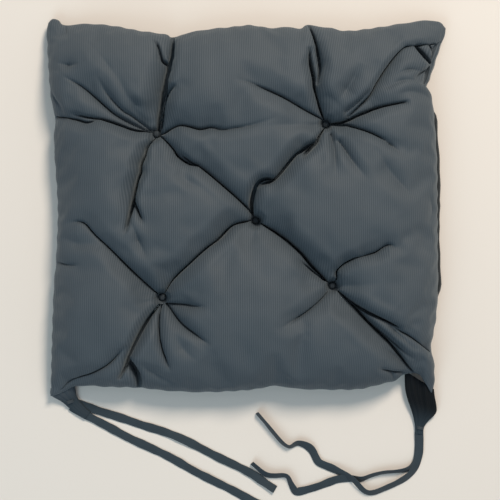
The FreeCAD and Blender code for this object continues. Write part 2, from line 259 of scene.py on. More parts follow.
# %% Reading a route back from its NURBS curve
def route_points(name, route):
    """The points of a smooth curve that has the route's points as its control points."""
    curve = bpy.data.curves.new(name, "CURVE")
    curve.dimensions = "3D"
    curve.resolution_u = 8
    spline = curve.splines.new("NURBS")
    spline.points.add(len(route) - 1)
    for point, place in zip(spline.points, route):
        point.co = (*(c * MM for c in place), 1)
    spline.order_u = 3
    spline.use_endpoint_u = True
    carrier = bpy.data.objects.new(name, curve)
    bpy.context.scene.collection.objects.link(carrier)
    line = bpy.data.meshes.new_from_object(carrier)
    points = np.array([v.co for v in line.vertices])
    bpy.data.objects.remove(carrier)
    bpy.data.curves.remove(curve)
    bpy.data.meshes.remove(line)
    return points


def shares_along(points):
    """Each point's share of the way along a line, and the line's length."""
    steps = np.linalg.norm(np.diff(points, axis=0), axis=1)
    travelled = np.concatenate([[0], np.cumsum(steps)])
    return travelled / travelled[-1], travelled[-1]


# %% One tape
SECTION_POINTS = 20
HEM_SHARE = 0.74  # where the stitched edge's row runs, as a share of the half width
ROLL_BLEND = 4  # points to each side over which a roll is evened out
END_BULGE = 0.1 * MM


def tape_section():
    """A flat section with rounded edges: across and up, as shares of half the width and thickness."""
    turn = np.arange(SECTION_POINTS) * 2 * math.pi / SECTION_POINTS
    across = np.sign(np.cos(turn)) * np.abs(np.cos(turn)) ** 0.45
    up = np.sign(np.sin(turn)) * np.abs(np.sin(turn)) ** 0.55
    dent = 1 - 0.35 * np.exp(-(((across - HEM_SHARE) / 0.12) ** 2))
    return across, up * dent


def lay_tape(name):
    """One tail: its mesh, its middle line and its length, in metres."""
    points = route_points(name, TAIL_ROUTES[name])
    share, length = shares_along(points)
    way = np.gradient(points, axis=0)
    way /= np.linalg.norm(way, axis=1)[:, None]
    level = np.cross(way, (0, 0, 1))
    level /= np.linalg.norm(level, axis=1)[:, None]
    upright = np.cross(level, way)
    places, degrees = zip(*TAIL_ROLLS[name])
    roll = np.radians(np.interp(share, places, degrees))
    window = 2 * ROLL_BLEND + 1
    padded = np.pad(roll, ROLL_BLEND, mode="edge")
    roll = np.convolve(padded, np.ones(window) / window, mode="valid")[:, None]
    points[:, 2] = np.maximum(points[:, 2], TAPE_WIDTH / 2 * np.abs(np.sin(roll[:, 0])) + TAPE_THICK / 2)
    side = np.cos(roll) * level + np.sin(roll) * upright
    top = np.cos(roll) * upright - np.sin(roll) * level
    width = TAPE_WIDTH / 2 * (1 + 0.05 * np.sin(share * 37) + 0.03 * np.sin(share * 91))
    across, up = tape_section()
    offsets = (
        side[:, None, :] * (width[:, None] * across)[..., None]
        + top[:, None, :] * (TAPE_THICK / 2 * up)[None, :, None]
    )
    skin = points[:, None, :] + offsets
    rows = len(points)
    ends = [points[:1] - way[:1] * END_BULGE, points[-1:] + way[-1:] * END_BULGE]
    vertices = np.concatenate([skin.reshape(-1, 3), *ends])
    faces = [tuple(f) for f in grid_faces(rows, SECTION_POINTS, around=True)]
    last = (rows - 1) * SECTION_POINTS
    for j in range(SECTION_POINTS):
        k = (j + 1) % SECTION_POINTS
        faces.append((rows * SECTION_POINTS, j, k))
        faces.append((rows * SECTION_POINTS + 1, last + k, last + j))
    uv_across = np.broadcast_to(across * TAPE_WIDTH / 2, (rows, SECTION_POINTS))
    uv_along = np.broadcast_to((share * length)[:, None], (rows, SECTION_POINTS))
    uvs = np.stack([uv_across, uv_along], axis=-1).reshape(-1, 2)
    uvs = np.concatenate([uvs, [(0, 0), (0, length)]])
    tape = new_piece(name + "_tape", vertices, faces, uvs)
    print(name, "length", round(length * 1000), "mm")
    return tape, points, length


tapes = {name: lay_tape(name) for name in TAIL_ROUTES}


# %% [markdown]
# ## The pad's outline
#
# Seen from above, a stuffed pad isn't square: cloth that has to rise over the filling is used up, so the
# edges pull in between the corners, and wherever a fold runs out over the seam there is a nick. The
# outline could be four arcs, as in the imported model, but the nicks are what make it look sewn. So each
# edge is a smooth curve through a few chosen points.

# %% The seam's four edges, in mm
REAR_EDGE = [
    (-199.5, -189), (-185, -184), (-175, -179), (-160, -178), (-140, -179), (-108, -180), (-80, -183),
    (-39, -184.5), (5, -182), (31, -178), (54, -181), (99, -182), (119, -181), (140, -176), (153, -173),
    (162, -167), (178, -166), (186, -178), (193, -190),
]
RIGHT_EDGE = [
    (193, -190), (194.5, -172), (193.5, -152), (190.5, -139), (195.5, -111), (197.5, -80), (197.5, -39),
    (197, 12), (196.8, 48), (195, 80), (193, 105), (190.7, 119), (186.3, 128.5), (189.5, 137), (194, 150),
    (199.5, 167), (204.5, 180), (206.5, 188.5),
]
FRONT_EDGE = [
    (-202.5, 194.5), (-198, 198.2), (-191.5, 196.8), (-185, 192.2), (-158, 193), (-133, 190.5),
    (-108, 185.5), (-82, 182), (-75, 178.5), (-61.5, 182.5), (-41, 186.5), (-15, 189.5), (5, 191.5),
    (25.5, 188.5), (46, 189.5), (57, 188), (64.5, 191.5), (87, 188.5), (105.5, 185.5), (138, 189.5),
    (169, 194.5), (188, 197), (200, 195.5), (206.5, 188.5),
]
LEFT_EDGE = [
    (-199.5, -189), (-198.5, -154), (-197, -113), (-195.5, -72), (-193.5, -49), (-191.5, -8),
    (-192.5, 22), (-194.5, 53), (-195.5, 74), (-194.5, 97), (-198, 112), (-200, 130), (-202, 156),
    (-203.5, 176), (-204, 188), (-202.5, 194.5),
]
CLOTH_WIDTH, CLOTH_DEPTH = 398.0, 378.0  # of a panel, in mm


def smooth_line(points, steps=8):
    """A smooth curve through points, as many short steps."""
    p = np.array(points, float)
    p = np.vstack([2 * p[0] - p[1], p, 2 * p[-1] - p[-2]])
    t = np.arange(steps)[:, None] / steps
    parts = []
    for a, b, c, d in zip(p, p[1:], p[2:], p[3:]):
        cubic = (3 * b - a - 3 * c + d) * t**3 + (2 * a - 5 * b + 4 * c - d) * t**2 + (c - a) * t
        parts.append(b + cubic / 2)
    return np.vstack([*parts, p[-2:-1]])


def edge_at(points, share):
    """Places along an edge, by share of its length."""
    line = smooth_line(points)
    along, _ = shares_along(line)
    return np.stack([np.interp(share, along, line[:, k]) for k in (0, 1)], axis=-1)


EDGE_FADE = 3  # how quickly an edge's nicks die away towards the middle
SEAM_PULL = 0.35  # stitches draw the edge in and out a little
RIM_ONLY = 40  # the power that keeps that to the last few millimetres


def straight(start, end, share):
    """The place that is a share of the way from start to end."""
    return (1 - share) * start + share * end


def flat_places(u, v):
    """Where each share of the cloth lies, seen from above, in mm."""
    a, b, c, d = (np.array(p, float) for p in (REAR_EDGE[0], REAR_EDGE[-1], FRONT_EDGE[0], FRONT_EDGE[-1]))
    u3, v3 = u[..., None], v[..., None]
    place = straight(straight(a, b, u3), straight(c, d, u3), v3)
    edges = [
        (REAR_EDGE, u, a, b, 1 - v3),
        (FRONT_EDGE, u, c, d, v3),
        (LEFT_EDGE, v, a, c, 1 - u3),
        (RIGHT_EDGE, v, b, d, u3),
    ]
    for points, share, start, end, near in edges:
        nick = edge_at(points, share) - straight(start, end, share[..., None])
        place = place + nick * near**EDGE_FADE
    pull = np.sin(place[..., 1] / 2.9 + 2 * np.sin(place[..., 1] / 23)) * (np.abs(2 * u - 1) ** RIM_ONLY)
    place[..., 0] += SEAM_PULL * pull * np.sign(2 * u - 1)
    pull = np.sin(place[..., 0] / 3.1 + 2 * np.sin(place[..., 0] / 19)) * (np.abs(2 * v - 1) ** RIM_ONLY)
    place[..., 1] += SEAM_PULL * pull * np.sign(2 * v - 1)
    return place


# %% [markdown]
# ## Tufts and creases
#
# Where cloth is pulled down to a point it has too much length round that point, and the spare gathers into
# creases that run out from the tuft. They look random but each has a place: from tuft to tuft, from tuft
# to corner, and from tuft to the nearest edge. Sculpting them by brush would work once; listing them keeps
# them easy to move. Each crease is a line of a few points, with how deep it is along the way (as a share
# of the pad's height there), how far each side's slope reaches, and how crisp its bottom is. A gaping one
# also has half the width of its flat bottom.

# %% Tufts, and lumps in the filling, in mm
TUFTS = {
    "front_left": (-90, 79),
    "front_right": (82, 89),
    "centre": (11, -9),
    "rear_left": (-84, -87),
    "rear_right": (89, -75),
}
TUFT_DEPTH, TUFT_REACH = 0.74, 46
TUFT_PIT = 0.1  # share of a tuft's depth that is a rounded bowl and not a point
# Lumps: place, height, reach.
LUMPS = [
    (-10, 135, 4, 48), (-145, 15, 4, 50), (140, 5, 4, 52), (0, -132, 5, 55), (-150, 150, 3, 36),
    (145, 145, 3, 34), (-40, 30, 2.5, 26), (55, 30, 3, 28), (-30, -55, 2.5, 26), (55, -25, 2, 24),
    (150, -70, 2, 34), (-150, -110, 3, 40), (120, -140, 3, 36), (-40, 120, 2, 30), (40, 145, -2, 26),
]

# %% Creases, in mm
# Each is (points, depths, reach to the left of the way along, reach to the right, crispness, gape).
CREASES = [
    # from the front left tuft: to the front edge, with its branch and hook
    ([(-88, 79), (-87.5, 94), (-84, 114), (-79.5, 134), (-75, 151), (-73, 165), (-73.5, 176), (-76, 184)],
     (0.8, 0.85, 0.85, 0.85, 0.8, 0.95), 22, 9, 13, 1.9),
    ([(-84.5, 82), (-82, 91), (-79.5, 105), (-76, 117), (-69, 127)],
     (0.65, 0.65, 0.6, 0.5, 0.05), 4, 13, 8, 0.5),
    ([(-92, 174), (-88.5, 164), (-86, 153), (-82.5, 149), (-79, 152)],
     (0.03, 0.35, 0.4, 0.5, 0.3), 5, 6, 4, 0.5),
    # to the front left corner and the left edge
    ([(-93, 80), (-121, 93), (-136, 102), (-150, 114), (-163, 125), (-180, 135)],
     (0.7, 0.6, 0.5, 0.35, 0.1), 15, 28, 3),
    ([(-94, 78.5), (-102, 79.5), (-115, 81.5), (-128, 86), (-142, 91), (-158, 96), (-178, 102)],
     (0.75, 0.7, 0.65, 0.55, 0.45, 0.25, 0.03), 12, 14, 6.5),
    ([(-197, 98), (-184, 96), (-171, 92), (-158, 88), (-145, 90)], (0.9, 0.7, 0.5, 0.3, 0.03), 12, 14, 6),
    ([(-95, 84), (-112, 97), (-123, 104), (-137, 119), (-147, 134)], (0.35, 0.3, 0.2, 0.03), 8, 11, 2.5),
    ([(-103, 102), (-108, 108), (-116, 114)], (0.03, 0.16, 0.03), 8, 8, 1.5),
    ([(-98, 92), (-112, 106), (-122, 124), (-128, 142)], (0.2, 0.13, 0.02), 11, 11, 0),
    ([(-158, 170), (-145, 156), (-132, 139), (-118, 118)], (0.03, 0.12, 0.03), 14, 14, 0),
    ([(-188, 150), (-176, 147), (-166, 148)], (0.1, 0.3, 0.05), 12, 10, 1),
    ([(-195, 120), (-190, 112), (-184, 104)], (0.4, 0.25, 0.03), 7, 8, 2),
    ([(-184, 193), (-182, 184), (-180, 174)], (0.8, 0.3, 0.03), 9, 9, 3),
    # down towards the left edge's middle
    ([(-91, 73), (-98.5, 64), (-101, 56), (-104.5, 47), (-105, 39), (-109, 28), (-113, 11), (-116, -6),
      (-119, -22)],
     (0.85, 0.85, 0.85, 0.8, 0.8, 0.65, 0.4, 0.2, 0.03), 9, 12, 17, 1.3),
    ([(-105, 25), (-108, 12), (-106, 2), (-101, -12)], (0.2, 0.35, 0.3, 0.03), 6, 10, 5),
    ([(-112, -12), (-106, -29), (-98, -45)], (0.05, 0.16, 0.03), 10, 10, 2),
    # to the centre tuft, in two overlapping folds
    ([(-85, 74), (-79, 70), (-73, 63.5), (-67, 54), (-57, 46), (-47, 43)],
     (0.75, 0.7, 0.65, 0.6, 0.5, 0.08), 12, 13, 7),
    ([(-66, 61), (-48, 47), (-37, 38), (-23, 26), (-6, 11), (8, -5)],
     (0.1, 0.5, 0.55, 0.6, 0.8), 20, 13, 6.5),
    ([(-68, 42), (-56, 30), (-42, 22)], (0.03, 0.12, 0.03), 9, 12, 0),
    # to the right, along the row of front tufts
    ([(-85, 77), (-79, 79), (-73, 83), (-63, 86), (-46, 82), (-34, 84), (-20, 82)],
     (0.75, 0.65, 0.5, 0.45, 0.4, 0.25, 0.05), 24, 12, 5),
    ([(-46, 80), (-23, 81), (-7, 83), (10, 86), (28, 92)], (0.05, 0.25, 0.2, 0.14, 0.03), 16, 13, 2.5),
    # from the front right tuft: to the front edge, in two overlapping folds
    ([(81, 95), (76, 106), (70.5, 122), (68, 135), (65, 150), (64, 166)],
     (0.85, 0.8, 0.7, 0.6, 0.05), 11, 16, 9, 0.6),
    ([(76, 128), (77, 146), (73, 166), (65, 191)], (0.15, 0.6, 0.65, 0.95), 10, 11, 8, 0.7),
    ([(93, 111), (100, 120), (109, 133), (116, 148)], (0.05, 0.3, 0.24, 0.03), 13, 16, 0),
    # to the left, up and over the front middle
    ([(79, 92), (60, 102), (44, 111), (27, 119), (5, 127), (-8, 130)],
     (0.75, 0.5, 0.4, 0.3, 0.15, 0.02), 19, 20, 4),
    ([(70, 86), (45, 86), (20, 84)], (0.25, 0.14, 0.03), 14, 14, 0),
    # to the right edge
    ([(85, 90), (103, 92), (120, 98), (135, 104), (152, 108), (166, 110)],
     (0.85, 0.75, 0.65, 0.55, 0.4, 0.03), 18, 12, 9, 0.4),
    ([(87, 86), (107, 84), (123, 79), (143, 70)], (0.7, 0.5, 0.35, 0.05), 12, 12, 5),
    ([(132, 73), (147, 65), (155, 56)], (0.05, 0.2, 0.03), 10, 10, 2),
    ([(150, 118), (168, 120), (186, 116)], (0.03, 0.14, 0.2), 10, 12, 0),
    # to the front right corner, with the pleats in it
    ([(104, 98), (124, 115), (132, 129), (144, 147), (158, 164), (168, 168), (183, 171), (200, 175)],
     (0.2, 0.5, 0.65, 0.65, 0.6, 0.55, 0.65), 8, 26, 7),
    ([(100, 102), (116, 115), (127, 126)], (0.2, 0.25, 0.03), 8, 9, 4),
    ([(171, 168), (178, 160), (185, 152), (190, 150)], (0.2, 0.85, 0.9, 0.85), 8, 6, 9, 1),
    ([(197, 171), (192, 161), (189, 151), (186, 141), (182, 129)],
     (0.5, 0.85, 0.9, 0.85, 0.5), 5, 8, 9, 0.9),
    ([(187, 170), (189.5, 163), (190, 155)], (0.3, 0.6, 0.7), 4, 4, 7),
    ([(170, 133), (178, 141), (184, 147), (190, 154)], (0.03, 0.3, 0.5, 0.6), 7, 7, 5),
    ([(150, 135), (165, 142), (180, 143)], (0.03, 0.18, 0.1), 9, 8, 2),
    ([(140, 122), (158, 131), (176, 131)], (0.03, 0.16, 0.05), 9, 9, 1.5),
    # towards the centre tuft, ending in its hook
    ([(80, 84), (75, 76), (72, 69), (67, 62), (58, 52)], (0.8, 0.75, 0.7, 0.5, 0.03), 8, 9, 10, 1),
    ([(70, 73), (59, 64.5), (49, 55), (36, 39), (27, 30), (16, 24)],
     (0.08, 0.6, 0.7, 0.7, 0.5, 0.1), 15, 15, 11, 1.1),
    ([(30, 34), (19, 34), (11, 26), (8, 9), (11, -6)], (0.03, 0.5, 0.75, 0.85, 0.85), 13, 9, 11, 1.4),
    # soft folds below the front right tuft
    ([(87, 76), (90, 58), (91, 36)], (0.4, 0.2, 0.02), 9, 9, 1),
    ([(95, 70), (108, 49), (121, 32)], (0.3, 0.2, 0.02), 9, 10, 1),
    ([(128, 63), (143, 41), (157, 25), (172, 12)], (0.03, 0.2, 0.22, 0.03), 16, 18, 0),
    ([(186, 18), (190, 2), (186, -14)], (0.03, 0.25, 0.03), 8, 8, 1),
    # between the centre tuft and the rear ones
    ([(16, -12), (33, -23), (52, -38), (69, -55), (84, -71)],
     (0.85, 0.75, 0.65, 0.7, 0.85), 20, 18, 9, 0.7),
    ([(6, -10), (-10, -13), (-20, -20), (-28, -28), (-42, -40), (-55, -52), (-72, -68), (-81, -82)],
     (0.85, 0.75, 0.7, 0.6, 0.5, 0.55, 0.7, 0.85), 16, 19, 8.5, 0.55),
    ([(-12, -19), (-24, -30), (-38, -40)], (0.05, 0.35, 0.05), 7, 6, 5),
    ([(28, -13), (44, -26), (60, -41)], (0.03, 0.2, 0.03), 8, 8, 3),
    ([(50, -48), (64, -60), (78, -72)], (0.03, 0.35, 0.3), 6, 7, 5),
    # from the rear right tuft: up to the right, and down to the left
    ([(91, -71), (94, -67), (93, -60), (99, -53.5), (106, -49), (115, -45)],
     (0.85, 0.8, 0.7, 0.65, 0.5, 0.25), 12, 13, 7.5),
    ([(112, -49), (122, -44), (131, -41), (142, -34), (151, -36)],
     (0.05, 0.35, 0.35, 0.25, 0.03), 14, 14, 5),
    ([(85, -80), (73, -92), (56, -105), (38, -115)], (0.6, 0.4, 0.3, 0.03), 16, 15, 3),
    ([(96, -74), (116, -74), (136, -72)], (0.25, 0.12, 0.02), 14, 14, 0),
    # to the rear right corner: a deep fold, a second beside it, and a third at the rim
    ([(93, -81), (110, -98), (126, -115), (145, -133), (164, -153), (178, -169), (193, -190)],
     (0.85, 0.8, 0.75, 0.75, 0.8, 0.85, 0.95), 12, 22, 9, 0.3),
    ([(97, -80), (114, -93), (128, -102), (144, -110), (160, -117)],
     (0.6, 0.55, 0.5, 0.4, 0.03), 12, 9, 7, 0.3),
    ([(142, -112), (164, -124), (188, -143)], (0.03, 0.35, 0.5), 10, 9, 4),
    ([(116, -99), (134, -116), (152, -131), (176, -152)], (0.03, 0.3, 0.3, 0.05), 7, 8, 4),
    ([(128, -104), (150, -120), (172, -140)], (0.03, 0.2, 0.05), 6, 6, 3),
    ([(152, -172), (146, -162), (134, -156)], (0.5, 0.2, 0.02), 9, 9, 1),
    ([(134, -158), (150, -162), (168, -167)], (0.03, 0.35, 0.6), 5, 6, 4),
    ([(136, -137), (149, -147), (163, -158)], (0.03, 0.3, 0.35), 10, 9, 2),
    # from the left edge in to the rear left tuft
    ([(-180, -12), (-163, -11), (-150, -24), (-133, -40), (-112, -61), (-90, -82)],
     (0.03, 0.3, 0.4, 0.5, 0.6, 0.85), 17, 18, 5.5),
    ([(-193, -50), (-179, -54), (-165, -55)], (0.5, 0.25, 0.03), 12, 12, 3),
    ([(-188, -25), (-170, -32), (-150, -34)], (0.03, 0.14, 0.03), 12, 12, 0),
    # from the rear left tuft to the rear edge, and its soft folds
    ([(-88, -94), (-98, -108), (-107, -124), (-116, -143), (-122, -158), (-128, -170)],
     (0.85, 0.9, 0.9, 0.85, 0.6, 0.05), 12, 9, 19, 1.3),
    ([(-115, -148), (-112, -156), (-108, -168), (-108, -183)], (0.1, 0.75, 0.9, 0.97), 8, 9, 11, 2.2),
    ([(-83, -94), (-85.5, -106), (-86, -118), (-83, -137), (-74, -160)],
     (0.7, 0.5, 0.4, 0.3, 0.04), 11, 9, 4.5),
    ([(-79, -94), (-64, -112), (-48, -124), (-33, -134)], (0.6, 0.4, 0.28, 0.02), 14, 11, 2.5),
    ([(-77, -92), (-58, -94), (-37, -96)], (0.5, 0.3, 0.02), 11, 12, 3),
    ([(-70, -118), (-62, -136), (-46, -150)], (0.03, 0.16, 0.02), 12, 12, 0),
    ([(-188, -181), (-176, -171), (-154, -163), (-136, -152), (-120, -133)],
     (0.9, 0.6, 0.45, 0.3, 0.03), 15, 11, 5),
    ([(-108, -149), (-92, -162), (-74, -172)], (0.03, 0.2, 0.1), 12, 12, 0),
]
print(len(TUFTS), "tufts and", len(CREASES), "creases")


# %% [markdown]
# ## The crown
#
# A stuffed pad's side is nearly upright at the seam and rounds over quickly, so the height rises as a
# quarter of a squashed circle does rather than in a straight slope. The creases then take shares of that
# height away. Shares multiply, so folds that meet at a tuft deepen each other but never pass right
# through the pad.

# %% Height of the top panel
CROWN = 40.0  # rise of the fullest part above the seam
SIDE_REACH = 86.0  # from the rim to where the crown is full
SIDE_POWER = 2.3
LEAST_KEPT = 0.17  # share of the height that is left at the bottom of a tuft
CRISP_REACH, CRISP_MORE = 3.4, 1.3
LEAST_GAPE = 0.35
SOFT_WAVE = 1.1  # of slow rise and fall between the creases, in mm
LIP = 1.2  # from the seam's line to each panel's rim
PILLOW = 0.36  # how far a crease's sides are convex, like two pillows meeting, rather than a plain valley
GATHER = 1.6  # how far cloth is drawn in sideways to a crease
LIP_PULL, LIP_REACH = 1.5, 3.4  # the same close by, where the two sides nearly meet
TUFT_CALM = 32.0  # creases are narrow within this distance of a tuft
CUT_START = 9.0  # crisp cuts begin this far from a tuft, outside its button
FULL_CRISP_DEPTH = 0.35  # the depth from which a crease is as crisp as its table says
PLEAT_COUNT, PLEAT_REACH, PLEAT_DEPTH = 13, 19.0, 2.0  # of the small pleats round each tuft
PLEAT_START, PLEAT_FADE = 3.0, 5.0  # where they begin, and over how much they deepen


def seam_height(x, y):
    """Height of the seam in mm: lower at the corners, and never quite level."""
    corner = np.exp(-((200 - np.abs(x)) ** 2 + (190 - np.abs(y)) ** 2) / 34.0**2)
    ripple = np.sin(x / 11 + 1.3 * np.sin(y / 37)) + np.sin(y / 13 + 1.1 * np.sin(x / 41) + 2)
    return 15.5 - 5.5 * corner + 0.7 * ripple


def side_rise(distance):
    """Share of the full height at a distance in mm from the rim."""
    inward = np.clip(distance / SIDE_REACH, 0, 1)
    return np.sqrt(np.maximum(1 - (1 - inward) ** SIDE_POWER, 0))


def from_tufts(x, y):
    """Each place's distance from the nearest tuft."""
    return np.min([np.hypot(x - tx, y - ty) for tx, ty in TUFTS.values()], axis=0)


def nearest_on(line, x, y):
    """For each place, its distance from a line, its side, the share along, and the nearest spot."""
    along, _ = shares_along(line)
    best = np.full(x.shape, 1e9)
    side, share, near_x, near_y = (np.zeros(x.shape) for _ in range(4))
    for (x0, y0), (x1, y1), s0, s1 in zip(line, line[1:], along, along[1:]):
        dx, dy = x1 - x0, y1 - y0
        t = np.clip(((x - x0) * dx + (y - y0) * dy) / (dx * dx + dy * dy), 0, 1)
        px, py = x0 + t * dx, y0 + t * dy
        distance = np.hypot(x - px, y - py)
        closer = distance < best
        best = np.where(closer, distance, best)
        side = np.where(closer, np.sign(dx * (y - y0) - dy * (x - x0)), side)
        share = np.where(closer, s0 + t * (s1 - s0), share)
        near_x, near_y = np.where(closer, px, near_x), np.where(closer, py, near_y)
    return best, side, share, near_x, near_y


def crease_effects(x, y):
    """What the creases do: the share of height kept, the crisp cut in mm, and the sideways pull."""
    kept, cut = np.ones(x.shape), np.zeros(x.shape)
    pull_x, pull_y = np.zeros(x.shape), np.zeros(x.shape)
    calm = 0.4 + 0.6 * smoothstep(from_tufts(x, y) / TUFT_CALM)
    for points, depths, left, right, crisp, *gape in CREASES:
        line = smooth_line(points, 4)
        whole, side, share, near_x, near_y = nearest_on(line, x, y)
        distance = np.maximum(whole - (LEAST_GAPE + sum(gape)) * np.sin(np.pi * share) ** 0.5, 0)
        depth = np.interp(share, np.linspace(0, 1, len(depths)), depths)
        reach = np.where(side > 0, left, right) * calm
        t = np.clip(distance / reach, 0, 1)
        valley, pillows = (1 - t) ** 2 * (1 + 0.6 * t), 1 - np.sqrt(1 - (1 - t) ** 2)
        share_convex = PILLOW * min(crisp / 4, 1)
        kept *= 1 - depth * (share_convex * pillows + (1 - share_convex) * valley)
        if crisp:
            fine = np.clip(distance / CRISP_REACH, 0, 1)
            strength = smoothstep(depth / FULL_CRISP_DEPTH)
            cut = np.maximum(cut, CRISP_MORE * crisp * strength * (1 - fine) ** 2)
            close = distance / LIP_REACH
            shift = GATHER * depth * 6.75 * t * (1 - t) ** 2
            shift += LIP_PULL * strength * min(crisp / 6, 1) * close * np.exp(1 - close)
            draw = np.minimum(shift, 0.8 * distance) / np.maximum(whole, 0.01)
            pull_x += draw * (near_x - x)
            pull_y += draw * (near_y - y)
    for tx, ty in TUFTS.values():
        away = np.clip(np.hypot(x - tx, y - ty) / TUFT_REACH, 0, 1)
        pit = 1 - np.sqrt(1 - (1 - away) ** 2)
        kept *= 1 - TUFT_DEPTH * (TUFT_PIT * pit + (1 - TUFT_PIT) * (1 - away) ** 1.9)
    return kept, cut, pull_x, pull_y


def tuft_pleats(x, y):
    """Small radial pleats close round each tuft, in mm below the surface."""
    depth = np.zeros(x.shape)
    for k, (tx, ty) in enumerate(TUFTS.values()):
        away, around = np.hypot(x - tx, y - ty), np.arctan2(y - ty, x - tx)
        wave = 0.5 + 0.5 * np.cos(PLEAT_COUNT * around + 1.4 * np.sin(3 * around + k) + 1.9 * k)
        fade = smoothstep((away - PLEAT_START) / PLEAT_FADE) * np.exp(-((away / PLEAT_REACH) ** 2))
        depth += PLEAT_DEPTH * wave**2 * fade * (0.6 + 0.4 * np.sin(2 * around + 2.3 * k))
    return depth


def top_surface(u, v):
    """The top panel's outer face at shares of the cloth, and the crisp cuts still to be taken from it."""
    place = flat_places(u, v)
    x, y = place[..., 0], place[..., 1]
    rise_u = side_rise(np.minimum(u, 1 - u) * CLOTH_WIDTH)
    rise_v = side_rise(np.minimum(v, 1 - v) * CLOTH_DEPTH)
    rise = (rise_u * rise_v) ** 1.1
    full = CROWN + sum(h * np.exp(-((x - lx) ** 2 + (y - ly) ** 2) / r**2) for lx, ly, h, r in LUMPS)
    kept, cut, pull_x, pull_y = crease_effects(x, y)
    kept = LEAST_KEPT + (1 - LEAST_KEPT) * kept
    cut = cut * rise * kept**0.3 * smoothstep(from_tufts(x, y) / CUT_START) + tuft_pleats(x, y)
    slow = np.sin(x / 12 + 1.6 * np.sin(y / 27)) * np.sin(y / 15 + 1.3 * np.sin(x / 21 + 1))
    slow += 0.5 * np.sin((x + y) / 8 + 2 * np.sin((x - y) / 31)) * np.sin((x - y) / 19)
    z = seam_height(x, y) + LIP + full * rise * kept + SOFT_WAVE * slow * rise * kept
    inner = smoothstep(np.minimum(rise_u, rise_v) / 0.5)
    return np.stack([x + pull_x * inner, y + pull_y * inner, z], axis=-1), cut


# %% Grids over the cloth, closer together near the rim
RIM_CROWDING = 0.3
INNER_COUNT = (75, 72)  # of a panel's inner face
SIM_COUNT = tuple(2 * n - 1 for n in INNER_COUNT)
TOP_COUNT = tuple(2 * n - 1 for n in SIM_COUNT)


def cloth_grid(counts):
    """Shares across and along a panel for a grid of so many rows and columns."""
    even = (np.linspace(0, 1, n) for n in counts)
    crowded = (t - RIM_CROWDING * np.sin(2 * math.pi * t) / (2 * math.pi) for t in even)
    return np.meshgrid(*crowded, indexing="ij")


def rim_loop(counts):
    """A grid's border as row and column numbers, once round, in one direction."""
    rows, columns = counts
    loop = [(i, 0) for i in range(rows - 1)] + [(rows - 1, j) for j in range(columns - 1)]
    loop += [(i, columns - 1) for i in range(rows - 1, 0, -1)] + [(0, j) for j in range(columns - 1, 0, -1)]
    return np.array(loop)


top_start, top_cut = top_surface(*cloth_grid(TOP_COUNT))
print("top panel: up to", top_start[..., 2].max().round(1), "mm high")


# %% [markdown]
# ## The underside
#
# The pad lies on its back, so its own weight presses the middle of the bottom panel flat, and only the
# last few centimetres curve up to the seam. The twine pulls five dimples into it as well, each with a
# small star of puckers. It is a height field like the top, worked out the same way.

# %% Height of the bottom panel
UNDER_REACH = 44.0  # from the rim to where the pad rests on the floor
UNDER_DIMPLE, DIMPLE_REACH = 8.5, 30.0  # at the back buttons
UNDER_PROUD = 2.5  # how far the underside's bulge shows past the seam on the right
STAR_POINTS, STAR_REACH = 7, 34.0  # of the puckers round a dimple
BULGE_START, BULGE_FLAT, BULGE_FADE = 7.0, 8.0, 22.0  # of that bulge, inwards from the seam


def bottom_surface(u, v):
    """The bottom panel's outer face at shares of the cloth, in mm."""
    place = flat_places(u, v)
    x, y = place[..., 0], place[..., 1]
    inward_u, inward_v = np.minimum(u, 1 - u) * CLOTH_WIDTH, np.minimum(v, 1 - v) * CLOTH_DEPTH
    from_rim = [1 - np.clip(inward / UNDER_REACH, 0, 1) for inward in (inward_u, inward_v)]
    bow_u, bow_v = (1 - np.sqrt(1 - share**2) for share in from_rim)
    z = (seam_height(x, y) - LIP) * (1 - (1 - bow_u) * (1 - bow_v))
    lifted = np.zeros(x.shape)
    for k, (tx, ty) in enumerate(TUFTS.values()):
        away = np.hypot(x - tx, y - ty)
        around = np.arctan2(y - ty, x - tx)
        star = smoothstep(away / 6) * (1 - smoothstep(away / STAR_REACH))
        pucker = 1 + 0.3 * np.sin(STAR_POINTS * around + k) * star
        lifted += UNDER_DIMPLE * (1 - smoothstep(away / DIMPLE_REACH)) * pucker
    long_wave = np.sin(x / 23 + 1.7 * np.sin(y / 31)) * np.sin(y / 27 + 1.2 * np.sin(x / 37))
    z = z + lifted + 0.5 * (1 + long_wave) * smoothstep(np.minimum(inward_u, inward_v) / 20)
    where = (u > 0.5) * smoothstep((v - 0.2) / 0.1) * smoothstep((0.8 - v) / 0.06)
    fade = 1 - smoothstep((inward_u - BULGE_FLAT) / BULGE_FADE)
    bulge = smoothstep(inward_u / BULGE_START) * fade * where
    scallop = UNDER_PROUD + 0.35 * np.sin(y / 4.2 + 1.5 * np.sin(y / 19)) + 0.6 * np.sin(y / 17)
    x = x + (inward_u + scallop) * bulge
    return np.stack([x, y, z], axis=-1)


bottom_start = bottom_surface(*cloth_grid(SIM_COUNT))
print("bottom panel: up to", bottom_start[..., 2].max().round(1), "mm high")


# %% [markdown]
# ## Letting the cloth settle
#
# Heights alone give smooth, modelled-looking folds. Real cloth has a length that it keeps, so when it is
# blown up by its filling it wrinkles where there is too much of it. Blender's Cloth does this: both panels
# become one closed skin, slightly too large for its shape, and pressure inside pushes it out while the
# seam, the tufts and the bottoms of the creases are held. The skin is coarser than the finished panel, and
# only its movement is kept, which is then spread over the finer grid. Simulating the fine grid itself would
# take minutes, and its crisp creases would be blown flat.

